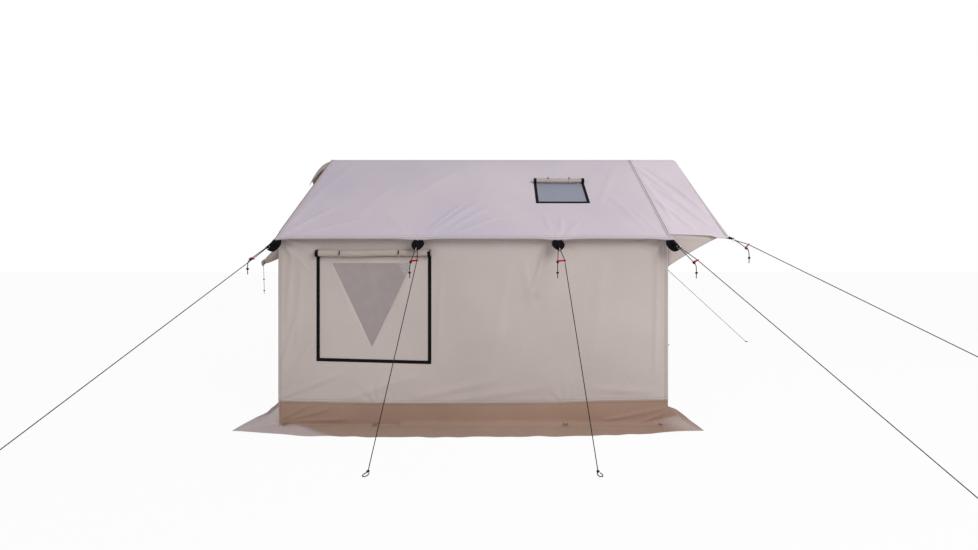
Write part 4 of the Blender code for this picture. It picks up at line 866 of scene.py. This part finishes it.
wall_fans = [
    (rear_x, 1.50, 11, 0.4, 0.26, 0.004),
    (front_x, 1.50, 11, 1.4, 0.28, 0.004),
    (rear_x, 0.18, 9, 0.9, 0.22, 0.0035),
    (-0.536, 1.50, 9, 2.0, 0.16, 0.0035),
    (0.534, 1.50, 9, 0.3, 0.16, 0.0035),
    (-0.87, 0.17, 9, 1.1, 0.14, 0.003),
    (0.60, 0.17, 9, 0.5, 0.14, 0.003),
]


def seam_z(x):
    """The height of the seam to the sod cloth, which is pulled down between its pegs."""
    return np.interp(x, [-1.65, -1.2, -0.6, 0.5, 0.9, 1.41], [0.191, 0.178, 0.172, 0.175, 0.191, 0.199])


def wall_points(x, z, side, lift=0.0):
    """The wall is upright and bows in amid the front bay. Its creases are laid on top, and are calm
    beside the window, whose foot drops towards the front."""
    bay, height = clamp((x - middle_leg_x) / half_length), clamp((z - sod_rise) / (wall_top - sod_rise))
    bow = cloth_sag * np.sin(np.pi * bay) ** 2 * np.sin(np.pi * height)
    edge = clamp((x - rear_x) / 0.03) * clamp((front_x - x) / 0.03)
    edge = edge * clamp((z - sod_rise) / 0.03) * clamp((wall_top - z) / 0.02)
    beside = np.maximum(np.abs(x - sum(window_x) / 2) - 0.46, 0) / 0.06
    calm = clamp(np.maximum(beside, np.abs(z - sum(window_z) / 2) / 0.1 - 4.4))
    rough = 1.5 * folds(x, z, wall_folds) + 1.4 * gathers(x, z, wall_fans)
    rough = rough + unevenness(x, z + 3 * side, 7, 0.0016)
    out = lift - bow + edge * (0.15 + 0.85 * calm) * rough
    tilt = clamp((x - window_x[0]) / (window_x[1] - window_x[0])) * clamp(1 - (x - window_x[1] - 0.05) / 0.5)
    drop = (seam_z(x) - sod_rise) * clamp((sod_rise + 0.3 - z) / 0.3)
    drop = drop - window_tilt * tilt * clamp(1 - np.abs(z - window_z[0]) / 0.3)
    return xyz(x, side * (half_width + out), z + drop)


for side, word in both_sides:
    x, z = grid(np.linspace(rear_x - 0.001, front_x + 0.001, 232), np.linspace(sod_rise, wall_top, 110))
    part = part_of(wall_points(x, z, side), xyz(x, z), ~cells_inside(x, z, window_x, window_z))
    wall = settle(sheet_of("wall_sheet_" + word, [part], wall_canvas), "tent", "wall_canvas", "wall_" + word)

# Windows: a canvas leaf with a V cut out of it, and behind it a net of knitted polyester. The net is
# drawn with 4 mm cells, three times their real size, so that they show, and is open between its
# yarns. Black tape binds three edges, and the rolled cover is sewn over the fourth.
net_cell = 0.004
net_cloth = bpy.data.materials.new("polyester_mosquito_net")
tree = tree_of(net_cloth)
place = wire(tree, "UVMap", {})
cells = {"Vector": place, "Scale": 1 / net_cell, "Randomness": 0.15}
from_edge = wire(tree, "TexVoronoi", cells, "Distance", feature="DISTANCE_TO_EDGE")
yarns = wire(tree, "Math", {0: from_edge, 1: 0.24}, operation="LESS_THAN")
cloud = wire(tree, "TexNoise", {"Vector": place, "Scale": 14.0, "Detail": 2.0})
tint = wire(tree, "Mix", {0: cloud, 6: linear("ACA2A1"), 7: linear("BEB4B3")}, 2, data_type="RGBA")
join(tree, tree.nodes["Principled BSDF"], {"Base Color": tint, "Alpha": yarns, "Roughness": 0.7})
overlap = 0.015
left, right, foot, top = window_x[0] - overlap, window_x[1] + overlap, window_z[0] - overlap, 1.322
vee_x, vee_half, vee_tip, vee_top = -0.913, 0.3075, 0.6215, 1.269
vee_middle = (vee_tip + vee_top) / 2
# The V's outline, across in shares of its half width and up in metres, and then the leaf's own
# outline, with as many corners: the leaf is the surface between the two
vee = [(0, vee_tip), (0.5, vee_middle), (1, vee_top), (-1, vee_top), (-0.5, vee_middle), (0, vee_tip)]
vee = np.array(vee) * (vee_half, 1) + (vee_x, 0)
rim = np.array([(vee_x, foot), (right, foot), (right, top), (left, top), (left, foot), (vee_x, foot)])
corners = np.arange(len(vee))
turn, out_share = grid(np.unique(np.append(np.linspace(0, 5, 131), corners)), np.linspace(0, 1, 22))
inner, outer = [xyz(*[np.interp(turn, corners, axis) for axis in line.T]) for line in (vee, rim)]
leaf_flat = inner + out_share[..., None] * (outer - inner)
leaf_x, leaf_z = leaf_flat[..., 0], leaf_flat[..., 1]
leaf_folds = [(vee_x - 0.28, 1.1, vee_x - 0.05, 0.7, 0.03, 0.0006),
              (vee_x + 0.28, 1.15, vee_x + 0.1, 0.7, 0.03, 0.0006)]
leaf_lift = np.abs(folds(leaf_x, leaf_z, leaf_folds)) * (out_share < 0.8) - 0.002
for side, word in both_sides:
    x, z = grid(np.linspace(left, right, 60), np.linspace(foot, window_z[1] + overlap, 58))
    net_part = part_of(wall_points(x, z, side, -0.004), xyz(x, z))
    net = sheet_of("window_net_sheet_" + word, [net_part], net_cloth, 0.001)
    leaf_part = part_of(wall_points(leaf_x, leaf_z, side, leaf_lift), leaf_flat)
    leaf = sheet_of("window_leaf_sheet_" + word, [leaf_part], wall_canvas, 0.001)
    settle(net, "tent", "window_net", "window_net_" + word)
    settle(leaf, "tent", "wall_canvas", "window_leaf_" + word)
    taped_edge("window_binding_" + word, lambda u, w: wall_points(u, w, side, tape_lift), window_x, window_z,
               "window_tape_" + word)
    roll_y, roll_z = side * (half_width + 0.0283), window_z[1] + overlap
    ends = [(at, roll_y, roll_z) for at in (window_x[0] - half_tape, window_x[1] + half_tape)]
    cover("window_" + word, *ends[::-side], (0, 0, 1), 0.027, (0.214, 0.724), "window_cover_" + word,
          4 + side)

# The rear wall: a canvas gable, sewn under the roof's rear edge and down to the sod cloth. Its folds
# run from the two lower corners, where the rear guy ropes and the pegs pull.
gable_y, gable_gap = half_width - 0.0013, 0.0013 / math.cos(pitch)
gable_u = 7  # moves the gables' cloth pattern away from the side walls' seams
gable_folds = [
    (1.18, 0.25, 0.85, 0.60, 0.024, 0.004),
    (1.16, 0.22, 0.70, 0.42, 0.028, 0.0035),
    (1.18, 1.42, 0.80, 1.20, 0.024, 0.0035),
    (0.30, 0.22, 0.75, 0.34, 0.030, 0.003),
    (0.05, 1.95, 0.30, 1.45, 0.026, 0.003),
]


def gable_top(y):
    """The height of the roof's underside."""
    return ridge_z - np.abs(y) * rise - gable_gap


def gable_points(y, z, rear):
    """Each half of the rear gable bows out a little; a gable's folds die out at its seams."""
    far = np.abs(y)
    share = clamp((z - sod_rise) / (gable_top(y) - sod_rise))
    edge = clamp((gable_y - far) / 0.05) * clamp(share / 0.03) * clamp((1 - share) / 0.04)
    rough = edge * (unevenness(y, z + 9 * rear, 11 + rear, 0.0014) + folds(far, z, gable_folds))
    bow = cloth_sag * np.sin(np.pi * far / half_width) ** 2 * np.sin(np.pi * share)
    return xyz(rear_x - bow - rough if rear else front_x + rough, y, z)


y, share = grid(np.linspace(-gable_y, gable_y, 163), np.linspace(0, 1, 120))
z = seam_z(rear_x) + share * (gable_top(y) - seam_z(rear_x))
rear_wall = sheet_of("rear_wall_sheet", [part_of(gable_points(y, z, 1), xyz(y + gable_u, z))], wall_canvas)
settle(rear_wall, "tent", "wall_canvas", "rear_wall")

# The cable sleeve: a spout of canvas high in the rear gable's near corner. It droops under its own
# weight and is gathered at its neck by the drawstring, with a small frill beyond.
sleeve_radius, sleeve_long = 0.055, 0.2
share, turn = grid(np.linspace(0, 1, 56), np.linspace(0, 2 * np.pi, 73))
spots, narrowing = [0, 0.3, 0.6, neck_share, 1], [1, 0.86, 0.62, neck_radius / sleeve_radius, 0.4]
pleats = 0.15 * bell((share - neck_share) / 0.28) * np.sin(9 * turn + 2 * share)
pleats = pleats + 0.05 * np.sin(4 * turn + 3 * share) * clamp(share * 5)
radius = sleeve_radius * np.interp(share, spots, narrowing) * (1 + pleats)
radius = np.where(np.abs(share - neck_share) < 0.012, np.minimum(radius, neck_radius), radius)
points = moved(sleeve_root, (share * sleeve_reach, sleeve_way), (radius * np.cos(turn), y_way),
               (radius * np.sin(turn), z_way))
part = part_of(points, xyz(share * sleeve_long, turn * sleeve_radius))
sleeve = settle(sheet_of("cable_sleeve_sheet", [part], trim_canvas), "tent", "trim_canvas", "cable_sleeve")

# The front wall: a canvas gable with a doorway, and a small slot for the ridge pole. Each door flap
# is sewn along its outer edge and hangs in three soft upright folds.
door_edge, door_top, door_share, door_foot = 0.6, 1.75, 0.72, 0.03
port_half, port_foot = 0.0135, 2.292
breaks = [-gable_y, -door_edge, -port_half, port_half, door_edge, gable_y]
ys = np.concatenate([np.linspace(a, b, n) for a, b, n in zip(breaks, breaks[1:], (32, 30, 3, 30, 32))])
shares = np.append(np.linspace(0, door_share, 60), np.linspace(door_share, 1, 40))
y, share = grid(np.unique(ys), np.unique(shares))
top = gable_top(y)
row = np.where(np.abs(y) <= door_edge + 0.0001, door_top, door_top * top / gable_top(door_edge))
below = sod_rise + share / door_share * (row - sod_rise)
z = np.where(share <= door_share, below, row + (share - door_share) / (1 - door_share) * (top - row))
opening = cells_inside(y, share, (-door_edge, door_edge), (-1, door_share))
opening |= cells_inside(y, z, (-port_half, port_half), (port_foot, ridge_z))
points = gable_points(y, z, 0)
calm = 1 - bell((np.abs(y) - door_edge) / 0.03) * clamp((door_top + 0.04 - z) / 0.04)
points[..., 0] = front_x + (points[..., 0] - front_x) * calm
front_wall = sheet_of("front_wall_sheet", [part_of(points, xyz(y + gable_u, z), ~opening)], wall_canvas)
settle(front_wall, "tent", "wall_canvas", "front_wall")
hinge_y, meeting_y, last_fold, door_fold = 0.5992, 0.012, 0.966, 0.004
for side, word in both_sides:
    share, z = grid(np.linspace(0.0024, 1, 42), np.linspace(door_foot, door_top - 0.004, 116))
    y = side * (hinge_y - share * (hinge_y - meeting_y))
    fold = door_fold * np.sin(3 * np.pi * share / last_fold) * clamp(4 * (last_fold - share))
    part = part_of(xyz(front_x + fold * clamp((door_top - z) / door_top * 1.6), y, z), xyz(y + gable_u, z))
    door = sheet_of("door_sheet_" + word, [part], wall_canvas)
    settle(door, "door_" + word, "wall_canvas", "door_" + word)

# The door zip: a black woven tape sewn to each door's inner edge, with a polyester coil 2 mm thick
# along it, and a slider of nickel plated zinc, a bright grey with fine cloudy marks, whose node stays.
slider_nickel = metal("nickel_plated_zinc", "B9B6AF", "DAD8D2", (300.0, 3.0), (300.0, 3.0), (0.2, 0.38))
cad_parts["zip_slider"].material_slots[0].material = slider_nickel
zip_x, zip_ends = front_x + 0.002, 0.004
coil_pitch, coil_radius, coil_yarn, coil_y = 0.005, 0.0006, 0.0004, 0.0021
zip_tape = (0.0018, 0.0295)
for side, word, zip_top in ((-1, "near", 1.738), (1, "far", 1.70)):
    y, z = grid(np.linspace(*zip_tape, 8), np.linspace(door_foot, zip_top, 150))
    part = part_of(xyz(zip_x + 0.0001 * np.sin(900 * z), side * y, z), xyz(y, z))
    strip = sheet_of("zip_tape_sheet_" + word, [part], black_webbing, 0.0011)
    run = (zip_top - 0.04) * np.linspace(0, 1, 1400)
    turn = 2 * np.pi * run / coil_pitch
    out, aside = coil_radius * np.cos(turn), coil_y + coil_radius * np.sin(turn)
    line = xyz(zip_x + 0.0011 + out, side * aside, door_foot + zip_ends + run)
    coil = piece("zip_coil_" + word, *tube_along(line, coil_yarn, 5), black_webbing)
    for made in (strip, coil):
        settle(made, "door_" + word, "black_webbing", "zip_tape_" + word)

# The sod cloth: a brown coated skirt sewn under the walls, that turns out flat over the ground. It is
# limp, so it lies in folds, stands up along creases at the corners, and has a wavy cut edge. At the
# corners, where its folded flaps face the lamps, a paler tint is painted on: painted light.
# The last colour is painted light: the paler tint of the flaps that face the lamps.
sod_cloth = canvas_material("brown_polyethylene_coated_cloth", "9A7E6D", "A58977", "A88F7E",
                            [(1, 0.012, 0.8)], painted_light_tint="BDB0AF")
sod_cut, doorway, ground_lift = 0.465, 0.615, 0.0014
front_bend, back_bend, slope_start = 0.045, 0.014, 0.045
far_off = 9.0
# The legs of the path: the front's near half, the near side, the rear, the far side, the front's far half
sod_path = np.array([(front_x, -doorway), (front_x, -half_width), (rear_x, -half_width), (rear_x, half_width),
                     (front_x, half_width), (front_x, doorway)])
sod_tips = np.array([(0, 0), (0.226, -0.14), (-0.282, -0.15), (-0.27, 0.2), (0.25, 0.2), (0, 0)])
sod_legs = np.diff(sod_path, axis=0)
sod_lengths = np.linalg.norm(sod_legs, axis=1)
sod_starts = run_of(sod_path)
sod_folds = [
    (3.63, -0.05, 3.643, 0.20, 0.006, 0.016),
    (3.62, 0.14, 3.40, 0.02, 0.018, 0.010),
    (3.58, 0.15, 3.25, 0.05, 0.016, 0.008),
    (3.60, 0.165, 3.10, 0.13, 0.014, 0.007),
    (3.30, 0.30, 3.05, 0.22, 0.020, 0.006),
    (0.611, 0.09, 0.825, 0.17, 0.014, 0.008),
    (0.611, 0.055, 1.13, 0.15, 0.016, 0.008),
    (0.75, 0.30, 1.35, 0.24, 0.020, 0.006),
    (1.60, 0.34, 1.95, 0.22, 0.020, 0.005),
    (2.30, 0.22, 2.75, 0.30, 0.022, 0.005),
    (4.10, 0.30, 4.60, 0.24, 0.022, 0.006),
    (6.40, 0.26, 7.20, 0.30, 0.022, 0.006),
]


def ripple(run, length, start=0.0):
    """A sine wave of one length."""
    return np.sin(2 * np.pi * run / length + start)


def sod_points(run, cut):
    """run goes along the foot of the walls and cut from the wall's seam out to the skirt's edge.

    Off the corners the skirt hangs down and then lies flat; towards a corner it is drawn to the
    corner's tip and slopes down to it. The second array is the share of a paler tint, painted light
    where the flaps face the lamps.
    """
    k = np.clip(np.searchsorted(sod_starts, run, side="right") - 1, 0, len(sod_legs) - 1)
    ahead = (sod_legs / sod_lengths[:, None])[k]
    normal = xyz(-ahead[..., 1], ahead[..., 0])
    before = run - sod_starts[k]
    after = sod_lengths[k] - before
    ends = [np.where(k > 0, before, far_off), np.where(k < 4, after, far_off)]
    away = np.minimum(*ends)
    root = sod_path[k] + ahead * before[..., None]
    root_x, root_y = root[..., 0], root[..., 1]
    seam = seam_z(root_x)
    front = np.interp(root_y, [-1.22, -0.93, -0.81, -0.725, -0.615], [0.218, 0.196, 0.177, 0.161, 0.14])
    near = np.interp(root_x, [-1.644, -1.6, -1.288, -0.635, 0.53, 1.11, 1.22, 1.37, 1.406],
                     [0.16, 0.215, 0.257, 0.278, 0.265, 0.215, 0.194, 0.19, 0.18])
    wide = np.select([k == 0, k == 1], [front, near], 0.262 + 0.014 * ripple(run, 0.861, 0.6))
    wide = wide + 0.004 * ripple(run, 0.23) * ripple(run, 0.61, 1)

    # Off the corners: down the wall, round a bend and out flat
    bend = np.where((k == 1) & (root_x > -0.7), front_bend, back_bend)
    hung, arc = seam - bend, bend * np.pi / 2
    angle = clamp((cut - hung) / arc) * np.pi / 2
    height = np.where(cut < hung, seam - cut, bend * (1 - np.sin(angle)) + ground_lift)
    spread = bend * (1 - np.cos(angle))
    spread = spread + clamp((cut - hung - arc) / (sod_cut - hung - arc)) * np.clip(wide - bend, 0.01, 1)

    # Towards a corner: a hollow slope from the wall to the edge
    slope_out = clamp((cut - slope_start) / (sod_cut - slope_start))
    sloping = (seam - slope_start) * (1 - slope_out) ** 1.8 + ground_lift
    slope_height = np.where(cut < slope_start, seam - cut, sloping)
    cases = [(k == 2) & (root_y > 0.6), (k == 0) | (k == 2), root_x > 0]
    slopes = [np.clip(1 - away / 0.3, 0.3, 1), np.clip(1.15 - away / 0.9, 0.3, 1),
              clamp(1 - away / (0.03 + 0.2 * slope_out))]
    slope_share = np.select(cases, slopes, 0.0)
    height = height + slope_share * (slope_height - height)
    spread = spread + slope_share * (slope_out * wide - spread)

    # The corners' tips, then the folds and the waves of the cut edge
    out_share = spread / wide
    plan = root + normal * spread[..., None]
    for distance, tip in zip(ends, (sod_tips[k], sod_tips[k + 1])):
        weight = clamp(1 - distance / 0.3) ** 1.5
        plan = plan + (weight * out_share)[..., None] * (tip - normal * wide[..., None])
    rough = unevenness(run, cut, 17, 0.003) + folds(run, cut, sod_folds)
    lying, edge = clamp(1 - height / 0.05), clamp(out_share / 0.2)
    far_wave = 0.005 * edge**2 * (1 - ripple(run, 0.57, np.pi / 2)) * clamp(away / 0.25) * (k != 1)
    cut_wave = 0.003 * edge**3 * (1 + ripple(run, 0.31) * ripple(run, 0.83, 2)) * (lying > 0.5)
    height = height + 1.1 * np.abs(rough) * lying * edge + far_wave + cut_wave
    plan = plan + normal * (rough * clamp(cut / 0.02) * clamp(0.9 - lying))[..., None]

    # The paler tint of painted light, laid beside the two near corners and on the rear leg
    rear_flap = clamp((0.2 + 0.32 * out_share - after) / 0.09) * clamp((cut - seam + 0.01) / 0.02)
    front_flap = 0.6 * clamp(1.3 - before / 0.1) * clamp((cut - seam + 0.05) / 0.02)
    near_pale = np.maximum(np.maximum(rear_flap, front_flap), after < 0.001)
    pale = 0.4 * clamp(1 - away / 0.2) * (slope_share > 0.4) * clamp(6 * cut / sod_cut - 0.3)
    pale = np.select([k == 1, (k == 2) & (root_y < -0.3)], [near_pale, clamp(1.2 - before / 0.9)], pale)
    return xyz(plan[..., 0], plan[..., 1], np.maximum(height, 0.0012)), pale


last = len(sod_legs) - 1
runs = []
for n, (a, b) in enumerate(zip(sod_starts, sod_starts[1:])):
    runs.append(np.linspace(a + 0.001 * (n > 0), b - 0.0005 * (n < last), max(int((b - a) / 0.011), 30)))
cuts = [np.linspace(0, 0.12, 12), np.linspace(0.128, 0.215, 14), np.linspace(0.225, sod_cut, 26)]
run, cut = grid(np.concatenate(runs), np.concatenate(cuts))
points, pale = sod_points(run, cut)
skirt = sheet_of("sod_cloth_sheet", [part_of(points, xyz(run, cut))], sod_cloth, cloth, pale.reshape(-1))
settle(skirt, "tent", "brown_cloth", "sod_cloth")

# Peg loops: brown webbing, folded flat into a 50 mm loop and sewn to the foot of the sod cloth.
# Its ribs are drawn 3 mm apart, and it is dull like the canvas.
brown_webbing = canvas_material("brown_polyester_webbing", "5E4B40", "6B574A", "6A5648")
loop_half, webbing_half, loop_long, loop_z = 0.0135, 0.0035, 0.0265, 0.021
turn, over = grid(np.linspace(-0.5 * np.pi, 0.5 * np.pi, 31), np.linspace(-1, 1, 5))
bows = [xyz((loop_long + webbing_half * over) * np.cos(turn) + 0.022,
            (loop_half + webbing_half * over) * np.sin(turn))]
lead, over = grid([0, 1], np.linspace(-1, 1, 5))
bows += [xyz(0.026 * lead - 0.004, sign * (loop_half + webbing_half * over)) for sign in (-1, 1)]
loop_xs = (-0.875, 0.604, -1.584, 1.346)
loop_spots = [(at, side * (half_width + 0.003), 0, side) for side in (-1, 1) for at in loop_xs]
loop_spots += [(rear_x - 0.003, at, -1, 0) for at in (-0.732, 0.0, 0.732)]
loops = []
for at_x, at_y, out_x, out_y in loop_spots:
    for bow in bows:
        out, aside = bow[..., 0], bow[..., 1]
        points = xyz(at_x + out * out_x - aside * out_y, at_y + out * out_y + aside * out_x, loop_z)
        loops.append(part_of(points, bow))
settle(sheet_of("peg_loops", loops, brown_webbing, 0.0018), "tent", "brown_cloth", "sod_cloth")

bpy.context.scene.view_settings.view_transform = "Standard"
